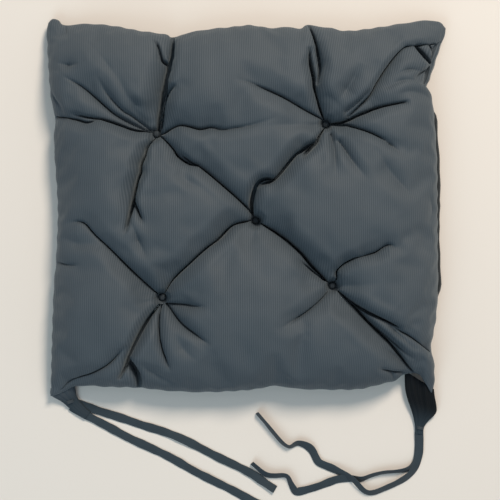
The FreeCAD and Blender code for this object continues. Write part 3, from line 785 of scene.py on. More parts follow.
# %% The simulation
PRESSURE, SPARE_CLOTH = 4.0, 0.02
SIM_FRAMES = 16
MOST_MOVED = 11.0  # in mm
CREASE_HOLD = 0.55  # how firmly the bottom of a crisp crease is held
FULL_HOLD_CUT = 4.0  # the cut in mm at which it is held that firmly
TUFT_HOLD, TUFT_LOOSE = 4.0, 10.0  # held this far from a tuft, then let go over this far
RIM_HOLD = 5.0


def skin_faces(counts):
    """Faces of two grids that share their rim, and which of the lower one's points are inside it."""
    rows, columns = counts
    upper_ids = np.arange(rows * columns).reshape(counts)
    inside = np.zeros(counts, bool)
    inside[1:-1, 1:-1] = True
    lower_ids = upper_ids.copy()
    lower_ids[inside] = rows * columns + np.arange(inside.sum())
    quads = []
    for ids, turn in ((upper_ids, 1), (lower_ids, -1)):
        ring = np.stack([ids[:-1, :-1], ids[1:, :-1], ids[1:, 1:], ids[:-1, 1:]], axis=-1).reshape(-1, 4)
        quads.append(ring[:, ::turn])
    return np.vstack(quads), inside


def settle(upper, lower, held):
    """Blow the closed skin up a little, and give back how its upper grid moves, in mm."""
    quads, inside = skin_faces(upper.shape[:2])
    points = np.vstack([upper.reshape(-1, 3), lower[inside]]) * MM
    mesh = bpy.data.meshes.new("skin")
    mesh.from_pydata(points.tolist(), [], quads.tolist())
    skin = bpy.data.objects.new("skin", mesh)
    bpy.context.scene.collection.objects.link(skin)
    group = skin.vertex_groups.new(name="held")
    weights = np.concatenate([held.reshape(-1), np.ones(inside.sum())])
    for weight in np.unique(np.round(weights, 2)):
        chosen = np.flatnonzero(np.round(weights, 2) == weight)
        group.add(chosen.tolist(), float(weight), "REPLACE")
    cloth = skin.modifiers.new("cloth", "CLOTH")
    settings = cloth.settings
    settings.quality = 6
    settings.mass = 0.15
    settings.tension_stiffness, settings.compression_stiffness = 12, 6
    settings.shear_stiffness, settings.bending_stiffness = 5, 1.2
    settings.air_damping = 2
    settings.use_pressure, settings.uniform_pressure_force = True, PRESSURE
    settings.shrink_min = -SPARE_CLOTH
    settings.vertex_group_mass = "held"
    settings.pin_stiffness = 1
    settings.effector_weights.gravity = 0
    cloth.collision_settings.use_collision = False
    cloth.point_cache.frame_end = SIM_FRAMES
    for step in range(1, SIM_FRAMES + 1):
        bpy.context.scene.frame_set(step)
    done = skin.evaluated_get(bpy.context.evaluated_depsgraph_get()).data
    moved = np.empty(len(points) * 3)
    done.vertices.foreach_get("co", moved)
    moved = moved.reshape(-1, 3) / MM
    bpy.data.objects.remove(skin)
    bpy.context.scene.frame_set(1)
    return moved[: upper.shape[0] * upper.shape[1]].reshape(upper.shape) - upper


def capped(shift):
    """The same movement with its longest steps shortened towards a limit."""
    far = np.linalg.norm(shift, axis=-1, keepdims=True)
    return shift * MOST_MOVED * np.tanh(far / MOST_MOVED) / np.maximum(far, 1e-9)


def calmed(values):
    """The same grid with its smallest ripples averaged away."""
    for _ in range(2):
        wide = np.concatenate([values[:1], values, values[-1:]])
        values = np.swapaxes((wide[:-2] + 2 * values + wide[2:]) / 4, 0, 1)
    return values


def doubled(values):
    """Twice as many rows and columns, less one, on a smooth cubic."""
    for _ in range(2):
        ends = np.concatenate([2 * values[:1] - values[1:2], values, 2 * values[-1:] - values[-2:-1]])
        middle = (9 * (ends[1:-2] + ends[2:-1]) - ends[:-3] - ends[3:]) / 16
        wider = np.empty((2 * len(values) - 1, *values.shape[1:]))
        wider[::2], wider[1::2] = values, middle
        values = np.swapaxes(wider, 0, 1)
    return values


sim_u, sim_v = cloth_grid(SIM_COUNT)
sim_start, sim_cut = top_surface(sim_u, sim_v)
held = np.clip(CREASE_HOLD * sim_cut / FULL_HOLD_CUT, 0, CREASE_HOLD)
tuft_away = from_tufts(sim_start[..., 0], sim_start[..., 1])
held = np.maximum(held, 1 - smoothstep((tuft_away - TUFT_HOLD) / TUFT_LOOSE))
rim_share = np.minimum(np.minimum(sim_u, 1 - sim_u), np.minimum(sim_v, 1 - sim_v))
held = np.maximum(held, 1 - smoothstep(rim_share * CLOTH_WIDTH / RIM_HOLD))
top_shift = np.zeros(top_start.shape)
started = time.time()
shift = settle(sim_start, bottom_start, held)
top_shift = doubled(calmed(capped(shift)))
far = np.linalg.norm(shift, axis=-1)
print("cloth settled in", round(time.time() - started, 1), "s")
print("it moved", far.mean().round(2), "mm on average and", far.max().round(1), "mm at most")


# %% [markdown]
# ## The cover cloth
#
# The cover is polyester woven with a fine rib. Its ribs run from the free edge to the tied one, and they
# catch the light as pale and dark lines about two millimetres apart that bend wherever the cloth does. A
# texture fixed in space would cut straight through the folds, so the ribs follow the UVs, which are places
# on the flat cloth in metres. The real threads are finer than a picture of the whole pad can show, so the
# rib is drawn at the spacing that is seen, and a finer cross thread only roughens it.

# %% Materials of the cover and the ties
RIB_PITCH, CROSS_PITCH = 2.1 * MM, 0.9 * MM
TAPE_WEAVE_PITCH = 1.1 * MM


def wave_scale(pitch):
    """The Wave Texture's scale that gives bands this far apart, in metres."""
    return 2 * math.pi / (20 * pitch)


def patterned_material(name, colours, textures, mixes, shade, height, bump, place="UV", **surface):
    """A material whose textures shade it from one colour to another and raise it in a bump.

    textures are named (kind, settings, inputs) for add_node. mixes are named (factor, one, other), made of
    them. shade and height are the names of what the colours and the bump follow, and bump is its strength
    and its height in metres. place is UV for cloth or Object for small pieces that lie every way.
    """
    material, tree, shader = new_material(name, **surface)
    if place == "UV":
        source = add_node(tree, "ShaderNodeUVMap", {"uv_map": "cloth"})
    else:
        source = add_node(tree, "ShaderNodeTexCoord")
    made = {}
    for part, (kind, settings, inputs) in textures.items():
        made[part] = (add_node(tree, kind, settings, inputs, {"Vector": (source, place)}), "Fac")
    for part, (factor, one, other) in mixes.items():
        links = {"A": made[one], "B": made[other]}
        mix = add_node(tree, "ShaderNodeMix", {"data_type": "FLOAT"}, {"Factor": factor}, links)
        made[part] = (mix, "Result")
    ramp = add_node(tree, "ShaderNodeValToRGB", links={"Fac": made[shade]})
    for element, colour in zip(ramp.color_ramp.elements, colours):
        element.color = linear(colour)
    tree.links.new(ramp.outputs["Color"], shader.inputs["Base Color"])
    strength, distance = bump
    inputs = {"Strength": strength, "Distance": distance}
    raised = add_node(tree, "ShaderNodeBump", inputs=inputs, links={"Height": made[height]})
    tree.links.new(raised.outputs["Normal"], shader.inputs["Normal"])
    return material


def woven_material(name, dark, light, roughness, rib_height, sheen):
    """Ribbed woven cloth: pale rib tops, dark gaps, slow changes of shade, and a bump of the ribs."""
    ribs = {"Scale": wave_scale(RIB_PITCH), "Distortion": 0.25, "Detail Scale": 1.4}
    cross = {"Scale": wave_scale(CROSS_PITCH), "Distortion": 0.6, "Detail Scale": 1.4}
    material = patterned_material(
        name,
        (dark, light),
        textures={
            "ribs": ("ShaderNodeTexWave", {"bands_direction": "X"}, ribs),
            "cross": ("ShaderNodeTexWave", {"bands_direction": "Y"}, cross),
            "patches": ("ShaderNodeTexNoise", {}, {"Scale": 22.0, "Detail": 3.0, "Roughness": 0.6}),
            "fluff": ("ShaderNodeTexNoise", {}, {"Scale": 900.0, "Detail": 2.0}),
        },
        mixes={
            "weave": (0.22, "ribs", "cross"),
            "worn": (0.35, "weave", "patches"),
            "fluffy": (0.25, "weave", "fluff"),
        },
        shade="worn",
        height="fluffy",
        bump=(0.6, rib_height),
        roughness=roughness,
        sheen=sheen,
        sheen_roughness=0.45,
        specular=0.32,
    )
    shader = material.node_tree.nodes["Principled BSDF"]
    shader.inputs["Sheen Tint"].default_value = linear("C9D6DC")
    return material


# Ribbed polyester, slate grey: dull, with a faint cool sheen where it turns away.
ribbed_polyester = woven_material("ribbed_polyester_slate", "2D3942", "505961", 0.7, 0.3 * MM, 0.2)
# Over a button the same cloth is stretched tight and loses its fuzz. Its colours are painted darker
# to stand for the shade in the pit round the button.
button_painted_shade_cloth = woven_material(
    "ribbed_polyester_button_painted_shade", "1E272E", "363E45", 0.75, 0.15 * MM, 0.05
)
# The underside is a plain near-black lining of the same kind, with a flatter weave.
lining_polyester = woven_material("plain_polyester_lining_black", "101518", "20272C", 0.8, 0.14 * MM, 0.1)


def fade_along(material, other_hex, start, end, specular):
    """Let a cloth's colour run into another one along its length."""
    tree = material.node_tree
    shader = tree.nodes["Principled BSDF"]
    shader.inputs["Specular IOR Level"].default_value = specular
    near_colour = shader.inputs["Base Color"].links[0].from_socket
    cloth = add_node(tree, "ShaderNodeUVMap", {"uv_map": "cloth"})
    length_way = add_node(tree, "ShaderNodeSeparateXYZ", links={"Vector": (cloth, "UV")})
    share = add_node(
        tree,
        "ShaderNodeMapRange",
        {"interpolation_type": "SMOOTHSTEP"},
        {"From Min": start, "From Max": end, "To Min": 0.0, "To Max": 1.0},
        {"Value": (length_way, "Y")},
    )
    inputs = {"Color2": linear(other_hex)}
    fade = add_node(tree, "ShaderNodeMixRGB", inputs=inputs, links={"Fac": (share, "Result")})
    tree.links.new(near_colour, fade.inputs["Color1"])
    tree.links.new(fade.outputs["Color"], shader.inputs["Base Color"])


# The lining gathered into the right tie is a darker copy of the lining, painted shade where it lies near
# the pad.
# Its colour runs paler towards the tape end, a painted light where it turns to the light.
lining_painted_shade_and_light = woven_material("polyester_lining_painted_shade_and_light", "0A0D10", "171C21", 0.85, 0.14 * MM, 0.05)
fade_along(lining_painted_shade_and_light, "303C45", 22 * MM, 58 * MM, 0.12)
# The tongue on the left is the cover's cloth, rubbed as dark as the tape where it is folded hard.
tongue_cloth = woven_material("ribbed_polyester_tongue", "2A353E", "485159", 0.75, 0.15 * MM, 0.15)
fade_along(tongue_cloth, "28343D", 8 * MM, 26 * MM, 0.25)


# Folded and stitched tape: a fine weave across it, a slanting one over that, and slow changes of shade.
tape_weave = {"Scale": wave_scale(TAPE_WEAVE_PITCH), "Distortion": 0.8, "Detail Scale": 1.4}
tape_slant = {"Scale": wave_scale(TAPE_WEAVE_PITCH * 1.3), "Distortion": 0.5, "Detail Scale": 1.4}
folded_tape = patterned_material(
    "folded_polyester_tape",
    ("1D2830", "34434D"),
    textures={
        "weave": ("ShaderNodeTexWave", {"bands_direction": "Y"}, tape_weave),
        "slant": ("ShaderNodeTexWave", {"bands_direction": "DIAGONAL"}, tape_slant),
        "shades": ("ShaderNodeTexNoise", {}, {"Scale": 60.0, "Detail": 4.0}),
    },
    mixes={"threads": (0.4, "weave", "slant"), "shaded": (0.5, "threads", "shades")},
    shade="shaded",
    height="threads",
    bump=(0.5, 0.15 * MM),
    roughness=0.78,
    sheen=0.2,
    specular=0.3,
)
print("cloth materials:", ribbed_polyester.name, lining_polyester.name, folded_tape.name)


# %% [markdown]
# ## Thread, twine, fibre and nylon
#
# Sewing thread and tufting twine are the same thing at two sizes: fibres twisted into a rope, so bands
# that run slantwise round them. The filling is loose white fibre, which has no surface at all, only
# tangles. The hidden button cores and back buttons are moulded nylon, smooth with a very fine texture from
# the mould.

# %% Materials of thread, twine, filling and buttons
def twisted_material(name, dark, light, roughness, pitch):
    """Twisted fibres: slanting bands round a thread."""
    inputs = {"Scale": wave_scale(pitch), "Distortion": 1.0, "Detail Scale": 1.4}
    return patterned_material(
        name,
        (dark, light),
        textures={"twist": ("ShaderNodeTexWave", {"bands_direction": "DIAGONAL"}, inputs)},
        mixes={},
        shade="twist",
        height="twist",
        bump=(0.6, pitch / 5),
        place="Object",
        roughness=roughness,
        sheen=0.15,
        specular=0.4,
    )


def grained_material(name, dark, light, roughness, grain, depth, sheen=0.0):
    """A surface of fine random grain, for fibre and moulded plastic."""
    return patterned_material(
        name,
        (dark, light),
        textures={"grain": ("ShaderNodeTexNoise", {}, {"Scale": 1 / grain, "Detail": 6.0})},
        mixes={},
        shade="grain",
        height="grain",
        bump=(0.5, depth),
        place="Object",
        roughness=roughness,
        sheen=sheen,
    )


# Spun polyester thread, matched to the cloth, and a waxed twine with a dull shine.
spun_thread = twisted_material("spun_polyester_thread", "262F36", "424C54", 0.7, 0.35 * MM)
waxed_twine = twisted_material("waxed_polyester_twine", "1C2023", "383E42", 0.45, 0.6 * MM)
# Carded polyester fibre, off-white, and moulded nylon with a spark-eroded mould's fine texture.
carded_fibre = grained_material("carded_polyester_fibre", "CFCDC6", "F2F1EC", 0.95, 3 * MM, 1.2 * MM, 0.4)
moulded_nylon = grained_material("moulded_nylon_black", "1B1D1F", "26292B", 0.42, 0.4 * MM, 0.02 * MM)
print("other materials:", spun_thread.name, waxed_twine.name, carded_fibre.name, moulded_nylon.name)


# %% [markdown]
# ## Finishing the ties
#
# The tapes end in a plain folded and stitched end. Each gets the tape's material in place of its imported
# part.

# %% The four tails
for name, (tape, points, length) in tapes.items():
    finish_piece(tape, name, folded_tape)


# %% [markdown]
# ## Sewing the panels
#
# Each panel is a single thickness of cloth. Its outer face is the fine grid. At the rim it turns in, so
# that the two panels meet in a groove with their seam at the bottom. Its inner face is hidden, so it is a
# coarser grid, kept clear of the deepest folds, and joined to the outer one all round to close the cloth.

# %% From faces to cloth
FABRIC = 0.8
TOP_STEP, UNDER_STEP = 4, 2  # points of each panel's outer face for one of its inner face
GROOVE = ((0.9, 0.5), (2.3, 0.15))  # how far in, and how far from the seam's height, going into the groove
INNER_HEM = (3.4, 1.0)


def inset(loop, distance):
    """A closed line of places moved inwards, seen from above."""
    way = np.roll(loop, -2, axis=0) - np.roll(loop, 2, axis=0)
    inwards = np.stack([-way[:, 1], way[:, 0]], axis=1)
    inwards /= np.linalg.norm(inwards, axis=1)[:, None]
    return loop + inwards * distance


def lowest_near(z, reach):
    """The lowest height within so many cells."""
    windows = np.lib.stride_tricks.sliding_window_view(np.pad(z, reach, mode="edge"), (2 * reach + 1,) * 2)
    return windows.min(axis=(-1, -2))


def make_panel(name, outer, step, up):
    """Cloth from its outer face, in mm, with a coarser inner face. up is 1 for the top, -1 underneath."""
    rows, columns = outer.shape[:2]
    rim, seam = rim_loop((rows, columns)), []
    edge = outer[rim[:, 0], rim[:, 1]]
    seam_z = edge[:, 2] - up * LIP
    for distance, rise in GROOVE:
        seam.append(np.column_stack([inset(edge[:, :2], distance), seam_z + up * rise]))
    inner = outer[::step, ::step].copy()
    inner[..., 2] = up * lowest_near(up * outer[..., 2], step)[::step, ::step] - up * FABRIC
    inner_rim = rim_loop(inner.shape[:2])
    hem = np.column_stack([inset(edge[:, :2], INNER_HEM[0]), seam_z + up * INNER_HEM[1]])
    inner[inner_rim[:, 0], inner_rim[:, 1]] = hem[::step]
    u, v = cloth_grid((rows, columns))
    flat = np.stack([u * CLOTH_WIDTH, v * CLOTH_DEPTH], axis=-1)
    flat_rim = flat[rim[:, 0], rim[:, 1]]
    points = np.vstack([outer.reshape(-1, 3), *seam, inner.reshape(-1, 3)])
    hidden = flat[::step, ::step].reshape(-1, 2)
    uvs = np.vstack([flat.reshape(-1, 2), *[flat_rim] * len(GROOVE), hidden])
    count = len(rim)
    loops = [rim[:, 0] * columns + rim[:, 1]]
    loops += [rows * columns + k * count + np.arange(count) for k in range(len(GROOVE))]
    first = rows * columns + len(GROOVE) * count
    inner_loop = first + inner_rim[:, 0] * inner.shape[1] + inner_rim[:, 1]
    faces = [tuple(f) for f in grid_faces(rows, columns)]
    faces += [tuple(f[::-1]) for f in grid_faces(*inner.shape[:2], first=first)]
    for a, b in zip(loops, loops[1:]):
        faces += list(zip(np.roll(a, -1), a, b, np.roll(b, -1)))
    last = loops[-1]
    for k, (here, after) in enumerate(zip(inner_loop, np.roll(inner_loop, -1))):
        near = [last[(k * step + n) % count] for n in range(step + 1)]
        half = step // 2
        faces += [(near[n + 1], near[n], here) for n in range(half)]
        faces.append((near[half], here, after))
        faces += [(near[n + 1], near[n], after) for n in range(half, step)]
    piece = new_piece(name, points * MM, [f[::up] for f in faces], uvs * MM)
    print(name, len(piece.data.polygons), "faces")
    return piece


# %% The top panel
top_face = top_start + top_shift
top_face[..., 2] -= top_cut
BUTTON_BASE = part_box("button_cover_centre")[0][2] / MM
BUTTON_SINK = 0.8  # from the button's mouth down to the cloth below it
PIT_SLOPE, PIT_FLAT, PIT_END = 1.7, 3.4, 12.0  # how quickly the cloth comes up round a button, and where
for tx, ty in TUFTS.values():
    away = np.hypot(top_face[..., 0] - tx, top_face[..., 1] - ty)
    under_button = BUTTON_BASE - BUTTON_SINK + PIT_SLOPE * np.clip(away - PIT_FLAT, 0, None) ** 1.4
    inside = away < PIT_END
    top_face[inside, 2] = np.minimum(top_face[inside, 2], under_button[inside])
top_panel = make_panel("cover_top_panel", top_face, TOP_STEP, up=1)
finish_piece(top_panel, "top_panel", ribbed_polyester)

# %% The bottom panel
bottom_panel = make_panel("cover_bottom_panel", bottom_start, UNDER_STEP, up=-1)
finish_piece(bottom_panel, "bottom_panel", lining_polyester)


# %% [markdown]
# ## The filling
#
# Inside the cover is a loose batt of polyester fibre. Nobody sees it unless the pad is opened, but it is a
# real piece, so it gets its own closed form: the space between the panels, drawn in a little, with the
# uneven surface that fibre has.

# %% The fibre filling
FIBRE_CLEAR = 1.6  # from the cloth to the filling
FIBRE_RAGGED = 0.5
TRIM = 2  # rows of the inner grid left out at the rim



def thinned(z, step):
    """Every so many of a grid's heights, at the lowest near each."""
    return lowest_near(z, step)[::step, ::step] - FABRIC - FIBRE_CLEAR


fibre_upper = top_face[::TOP_STEP, ::TOP_STEP].copy()
fibre_upper[..., 2] = thinned(top_face[..., 2], TOP_STEP)
fibre_lower = bottom_start[::UNDER_STEP, ::UNDER_STEP].copy()
fibre_lower[..., :2] = flat_places(*cloth_grid(INNER_COUNT))
fibre_lower[..., 2] = -thinned(-bottom_start[..., 2], UNDER_STEP)
fibre_upper, fibre_lower = (side[TRIM:-TRIM, TRIM:-TRIM] for side in (fibre_upper, fibre_lower))
generator = np.random.default_rng(5)
fibre_upper[..., 2] -= generator.uniform(0, FIBRE_RAGGED, fibre_upper.shape[:2])
fibre_lower[..., 2] += generator.uniform(0, FIBRE_RAGGED, fibre_lower.shape[:2])
rows, columns = fibre_upper.shape[:2]
rim = rim_loop((rows, columns))
upper_rim = rim[:, 0] * columns + rim[:, 1]
lower_rim = upper_rim + rows * columns
faces = [tuple(f) for f in grid_faces(rows, columns)]
faces += [tuple(f[::-1]) for f in grid_faces(rows, columns, first=rows * columns)]
faces += list(zip(np.roll(upper_rim, -1), upper_rim, lower_rim, np.roll(lower_rim, -1)))
points = np.vstack([fibre_upper.reshape(-1, 3), fibre_lower.reshape(-1, 3)])
filling = new_piece("fibre_filling_batt", points * MM, faces)
finish_piece(filling, "fibre_filling", carded_fibre)
print("filling is", round((fibre_upper[..., 2] - fibre_lower[..., 2]).min(), 1), "mm thick at its thinnest")


# %% [markdown]
# ## Stitches along the seam
#
# A lockstitch shows as a row of short dashes of thread. One stitch is modelled as a small lozenge with
# rounded ends, and copies of it are laid along the bottom of the groove. The last stretch of the rear edge
# was left open for stuffing and then closed by hand, so its stitches are longer and cross the groove.

# %% One stitch, and rows of it
STITCH_PITCH, STITCH_LONG, STITCH_THICK = 3.0, 2.5, 0.5
HAND_PITCH, HAND_LONG = 5.0, 4.2
HAND_ALONG, HAND_UP = 0.8, 0.6  # how much of a hand stitch runs along the seam, and how much across it
HAND_PROUD = 0.3
SEAM_DEPTH = 1.5  # from the rim to the row of stitches

bpy.ops.object.select_all(action="DESELECT")
bpy.ops.mesh.primitive_cylinder_add(vertices=8, radius=0.5, depth=1)
stitch = bpy.context.active_object
bpy.ops.object.mode_set(mode="EDIT")
bpy.ops.mesh.select_all(action="SELECT")
bpy.ops.mesh.bevel(offset=0.16, segments=2, affect="EDGES")
bpy.ops.mesh.remove_doubles(threshold=0.0001)
bpy.ops.mesh.normals_make_consistent(inside=False)
bpy.ops.object.mode_set(mode="OBJECT")
stitch_points = np.array([v.co for v in stitch.data.vertices])
stitch_faces = [tuple(p.vertices) for p in stitch.data.polygons]
bpy.data.objects.remove(stitch)
print("one stitch has", len(stitch_faces), "faces")


def sew(name, places, ways, long, node):
    """Copies of the stitch at places in mm, each along its own way, as one piece."""
    points, faces = [], []
    for place, way in zip(places, ways):
        way = Vector(way).normalized()
        turn = np.array(way.to_track_quat("Z", "Y").to_matrix())
        faces += [tuple(i + len(stitch_points) * len(points) for i in face) for face in stitch_faces]
        points.append(np.asarray(place) + (stitch_points * (STITCH_THICK, STITCH_THICK, long)) @ turn.T)
    piece = new_piece(name, np.vstack(points) * MM, faces)
    finish_piece(piece, node, spun_thread)
    print(name, len(points), "stitches")


rim = rim_loop(TOP_COUNT)
edge = top_face[rim[:, 0], rim[:, 1]]
seam_line = np.column_stack([inset(edge[:, :2], SEAM_DEPTH), edge[:, 2] - LIP])
seam_line = np.vstack([seam_line, seam_line[:1]])
seam_share, seam_length = shares_along(seam_line)
closing_low, closing_high = (np.array(corner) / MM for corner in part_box("closing_stitching"))


def along_seam(distance):
    """Places on the seam, in mm, by how far round it they are."""
    share = distance / seam_length % 1
    return np.stack([np.interp(share, seam_share, seam_line[:, k]) for k in range(3)], axis=-1)


def seam_places(pitch):
    """Places along the seam, the way it runs at each, and which of them are on the closing stretch."""
    distance = np.arange(0, seam_length, pitch)
    places, ways = along_seam(distance), along_seam(distance + 1) - along_seam(distance - 1)
    x, y = places[:, 0], places[:, 1]
    return places, ways, (x > closing_low[0]) & (x < closing_high[0]) & (y < 0)


places, ways, closing = seam_places(STITCH_PITCH)
sew("seam_stitches", places[~closing], ways[~closing], STITCH_LONG, "perimeter_stitching")
places, ways, closing = seam_places(HAND_PITCH)
places = places[closing] + (0, -HAND_PROUD, 0)
ways = ways / np.linalg.norm(ways, axis=1)[:, None] * HAND_ALONG + (0, 0, HAND_UP)
sew("hand_closing_stitches", places, ways[closing], HAND_LONG, "closing_stitching")


# %% [markdown]
# ## The covered buttons
#
# A covered button is a disc of cloth gathered over a moulded core, so its top is smooth and its rim has
# small radial tucks. A sphere could be squashed into a dome, but the tucks start from rings, so the dome
# is built as one: a disc is extruded outwards and down, ring by ring, then under the core, and every other
# point of the lower rings is pushed in. Solidify gives the cloth its thickness.

# %% One covered button, copied to each tuft
BUTTON_SPOKES = 40
cover_low, cover_high = (np.array(corner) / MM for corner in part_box("button_cover_centre"))
BUTTON_RADIUS = (cover_high[0] - cover_low[0]) / 2
BUTTON_HEIGHT = cover_high[2] - cover_low[2]
BUTTON_CLOTH = 0.35 * MM
# Rings from the button's top to its mouth: share of the radius, share of the height, depth of tucks.
BUTTON_RINGS = [
    (0.22, 0.99, 0), (0.42, 0.955, 0), (0.62, 0.87, 0), (0.79, 0.73, 0.01), (0.91, 0.55, 0.025),
    (0.98, 0.36, 0.045), (1, 0.2, 0.06), (0.95, 0.07, 0.075), (0.82, 0.01, 0.09), (0.66, 0, 0.11),
]


def select_ring(mesh, radius, height, close=0.02):
    """Selects, in object mode, the points at a ring's height and radius, in mm."""
    for vertex in mesh.vertices:
        x, y, z = vertex.co / MM
        vertex.select = abs(math.hypot(x, y) - radius) < close and abs(z - height) < close


def thicken(piece, thickness, offset):
    """Give the active piece, a single face of cloth, its thickness."""
    cloth = piece.modifiers.new("cloth_thickness", "SOLIDIFY")
    cloth.thickness, cloth.offset = thickness, offset
    bpy.ops.object.modifier_apply(modifier=cloth.name)


def face_outwards():
    """Turn all faces of the active piece outwards."""
    bpy.ops.object.mode_set(mode="EDIT")
    bpy.ops.mesh.select_all(action="SELECT")
    bpy.ops.mesh.normals_make_consistent(inside=False)
    bpy.ops.object.mode_set(mode="OBJECT")


def covered_button():
    """The cloth of one button, with its mouth at the origin's height."""
    bpy.ops.object.select_all(action="DESELECT")
    first_radius, first_height, _ = BUTTON_RINGS[0]
    bpy.ops.mesh.primitive_circle_add(
        vertices=BUTTON_SPOKES,
        radius=BUTTON_RADIUS * first_radius * MM,
        location=(0, 0, BUTTON_HEIGHT * first_height * MM),
        fill_type="TRIFAN",
    )
    piece = bpy.context.active_object
    bpy.ops.object.transform_apply(location=True)
    bpy.ops.object.mode_set(mode="EDIT")
    bpy.ops.mesh.select_mode(type="VERT")
    bpy.ops.mesh.select_all(action="DESELECT")
    bpy.ops.object.mode_set(mode="OBJECT")
    for (radius, height, _), (next_radius, next_height, _) in zip(BUTTON_RINGS, BUTTON_RINGS[1:]):
        select_ring(piece.data, radius * BUTTON_RADIUS, height * BUTTON_HEIGHT)
        bpy.ops.object.mode_set(mode="EDIT")
        bpy.ops.mesh.extrude_region_move(
            TRANSFORM_OT_translate={"value": (0, 0, (next_height - height) * BUTTON_HEIGHT * MM)}
        )
        grow = next_radius / radius
        bpy.ops.transform.resize(value=(grow, grow, 1), center_override=(0, 0, 0))
        bpy.ops.object.mode_set(mode="OBJECT")
    for vertex in piece.data.vertices:
        x, y, z = vertex.co
        share = math.hypot(x, y) / (BUTTON_RADIUS * MM)
        ring = min(BUTTON_RINGS, key=lambda r: abs(r[0] - share) + abs(r[1] - z / (BUTTON_HEIGHT * MM)))
        spoke = round(math.atan2(y, x) / (2 * math.pi) * BUTTON_SPOKES)
        tuck = 1 - ring[2] * (0.5 + 0.5 * math.cos(math.pi * spoke)) * (0.7 + 0.3 * math.sin(spoke * 1.7))
        vertex.co.x, vertex.co.y = x * tuck, y * tuck
    face_outwards()
    thicken(piece, BUTTON_CLOTH, offset=-1)
    smooth = piece.modifiers.new("rounding", "SUBSURF")
    smooth.levels = smooth.render_levels = 1
    bpy.ops.object.modifier_apply(modifier=smooth.name)
    bpy.ops.object.shade_smooth()
    return piece


def lay_flat_uvs(piece):
    """Cloth UVs straight down on a piece: each point's own x and y in metres."""
    mesh = piece.data
    while mesh.uv_layers:
        mesh.uv_layers.remove(mesh.uv_layers[0])
    layer = mesh.uv_layers.new(name="cloth")
    for loop in mesh.loops:
        layer.data[loop.index].uv = mesh.vertices[loop.vertex_index].co.xy


button_pattern = covered_button()
lay_flat_uvs(button_pattern)
for place, (tx, ty) in TUFTS.items():
    button = button_pattern.copy()
    button.data = button_pattern.data.copy()
    button.name = f"covered_button_{place}"
    bpy.context.scene.collection.objects.link(button)
    for vertex in button.data.vertices:
        vertex.co += Vector((tx, ty, cover_low[2])) * MM
    finish_piece(button, f"button_cover_{place}", button_painted_shade_cloth)
bpy.data.objects.remove(button_pattern)
print("covered buttons:", len(TUFTS), "of radius", round(BUTTON_RADIUS, 1), "mm")


# %% The hidden cores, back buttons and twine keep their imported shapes
def give_material(node, material):
    """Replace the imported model's own material on a node."""
    mesh = bpy.data.objects[node].data
    mesh.materials.clear()
    mesh.materials.append(material)


for place in TUFTS:
    give_material(f"button_core_{place}", moulded_nylon)
    give_material(f"back_button_{place}", moulded_nylon)
    give_material(f"tuft_twine_{place}", waxed_twine)


# %% [markdown]
# ## The folded corners
#
# At each rear corner a tongue of cloth comes out of the seam, is folded over on itself and narrows to the
# tapes that are sewn into it. On the right it is the dark lining, gathered into a few long pleats that run
# together at the tape. Its colour is painted darker as shade near the pad and paler as light towards the
# tape.
# On the left it is a short tongue of the cover cloth. Each is one strip of cloth folded along its length,
# so its section is a long U lying on its side, and the strip gets its thickness from Solidify.

# %% Folded corners
FOLD_POINTS = 26  # across each of the two layers
LAYER_GAP = 1.5  # between the middles of the two layers

# Rows of each corner from the seam to the tapes: left end, right end, height of the upper layer.
CORNER_ROWS = {
    "right": [
        ((164.5, -163), (194, -182), 12.5), ((164.6, -174), (195, -190), 11.6),
        ((165.6, -184.5), (196.6, -197.5), 10.4), ((168.6, -195.2), (197.3, -204.5), 8.8),
        ((171.8, -204), (195.2, -209.2), 7), ((174.2, -212), (189.8, -214.6), 5.4),
        ((175.4, -218.6), (185.6, -220.2), 4.3), ((175.6, -224), (184.2, -224.8), 3.9),
        ((175.6, -229), (184, -229.4), 3.7),
    ],
    "left": [
        ((-199.6, -181), (-177.5, -170), 13), ((-200.2, -187.2), (-175.6, -178.5), 11.6),
        ((-196.8, -190.6), (-174.9, -184.6), 9.8), ((-191, -194), (-174.4, -188.8), 7.6),
        ((-186.4, -197.6), (-173, -192.4), 5.6), ((-182.6, -201.4), (-170.4, -196), 4.4),
        ((-177, -206.6), (-167.4, -199.8), 3.9), ((-171.2, -210.4), (-164, -203.6), 3.7),
        ((-165.4, -213.8), (-160, -206.8), 3.4),
    ],
}
# Pleats of each corner: (share across at the seam, share at the tapes, height in mm, half width as a share)
PLEATS = {
    "right": [
        (0.06, 0.15, 2, 0.09), (0.22, 0.42, 2.6, 0.07), (0.44, 0.5, 1.4, 0.04), (0.7, 0.56, 3, 0.08),
        (0.97, 0.8, 2.4, 0.1),
    ],
    "left": [
        (0.15, 0.25, 1.2, 0.09), (0.4, 0.45, 1.8, 0.1), (0.7, 0.62, 1.4, 0.09), (0.9, 0.85, 0.9, 0.08),
    ],
}


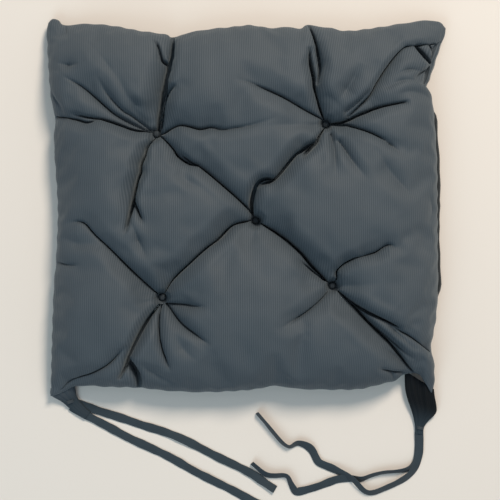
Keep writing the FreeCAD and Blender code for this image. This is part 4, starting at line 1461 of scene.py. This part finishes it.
def folded_corner(side, material):
    """A strip folded into a long U, from the seam out to the tapes."""
    table = CORNER_ROWS[side]
    lefts = smooth_line([row[0] for row in table], 6)
    rights = smooth_line([row[1] for row in table], 6)
    share = np.linspace(0, 1, len(lefts))
    high = np.interp(share, np.linspace(0, 1, len(table)), [row[2] for row in table])
    inner, outer = np.linspace(0.03, 0.985, FOLD_POINTS), np.linspace(0.985, 0, FOLD_POINTS)
    fold = np.concatenate([inner, [1.0], outer])
    upper = np.concatenate([np.zeros(FOLD_POINTS), [0.5], np.ones(FOLD_POINTS)])
    across = fold[None, :, None]
    plan = lefts[:, None] * (1 - across) + rights[:, None] * across
    pleats = np.zeros((len(lefts), len(fold)))
    for start, end, rise, half in PLEATS[side]:
        middle = start + (end - start) * share[:, None]
        pleats += rise * (1 - 0.75 * share[:, None]) * np.exp(-(((fold[None] - middle) / half) ** 2))
    droop = 1 - 0.22 * (2 * fold[None] - 1) ** 4
    z = high[:, None] * droop - LAYER_GAP * (1 - upper[None]) + (pleats - 0.9) * upper[None]
    z = np.maximum(z, 1.2 + LAYER_GAP * upper[None])
    points = np.concatenate([plan, z[..., None]], axis=-1)
    widths = np.linalg.norm(rights - lefts, axis=1)
    along = np.concatenate([[0], np.cumsum(np.linalg.norm(np.diff((lefts + rights) / 2, axis=0), axis=1))])
    wide = np.where(upper[None] > 0.5, 2 - fold[None], fold[None]) * widths[:, None]
    uvs = np.stack([wide, np.broadcast_to(along[:, None], wide.shape)], axis=-1)
    points, uvs = points.reshape(-1, 3) * MM, uvs.reshape(-1, 2) * MM
    piece = new_piece(f"{side}_folded_corner", points, grid_faces(*z.shape), uvs)
    bpy.ops.object.select_all(action="DESELECT")
    bpy.context.view_layer.objects.active = piece
    piece.select_set(True)
    thicken(piece, FABRIC * MM, offset=0)
    face_outwards()
    finish_piece(piece, f"{side}_tie_root", material)
    return piece


corners = {
    "right": folded_corner("right", lining_painted_shade_and_light),
    "left": folded_corner("left", tongue_cloth),
}


# %% [markdown]
# ## Bar tacks
#
# A bar tack is a dense little block of zigzag stitches that takes the pull of a tie. It is the same stitch
# as the seam's, laid side by side across the end of each folded corner.

# %% Bar tacks
TACK_THREADS, TACK_PITCH, TACK_LONG = 7, 0.42, 6.8
TACK_LEAN = 0.05
TACK_ROW = {"left": 4, "right": 5}  # the row of each corner that the tack lies along


def top_of(side, place, reach=2.5):
    """Height of a folded corner's highest point near a place, in mm."""
    points = np.array([v.co for v in corners[side].data.vertices]) / MM
    near = np.hypot(points[:, 0] - place[0], points[:, 1] - place[1]) < reach
    return points[near, 2].max() + 0.1


def bar_tack(side):
    """Threads side by side across a folded corner's end."""
    low, high = (np.array(corner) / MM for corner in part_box(f"{side}_bar_tack"))
    middle = (low + high) / 2
    left, right, _ = CORNER_ROWS[side][TACK_ROW[side]]
    across = np.array(right) - np.array(left)
    across = across / np.linalg.norm(across)
    onward = np.array([across[1], -across[0]])
    surface = top_of(side, middle[:2])
    places, ways = [], []
    for k in range(TACK_THREADS):
        offset = (k - (TACK_THREADS - 1) / 2) * TACK_PITCH
        places.append((*(middle[:2] + onward * offset), surface))
        ways.append((*(across + onward * TACK_LEAN * (-1) ** k), 0))
    sew(f"{side}_bar_tack_stitches", places, ways, TACK_LONG, f"{side}_bar_tack")


bar_tack("left")
bar_tack("right")
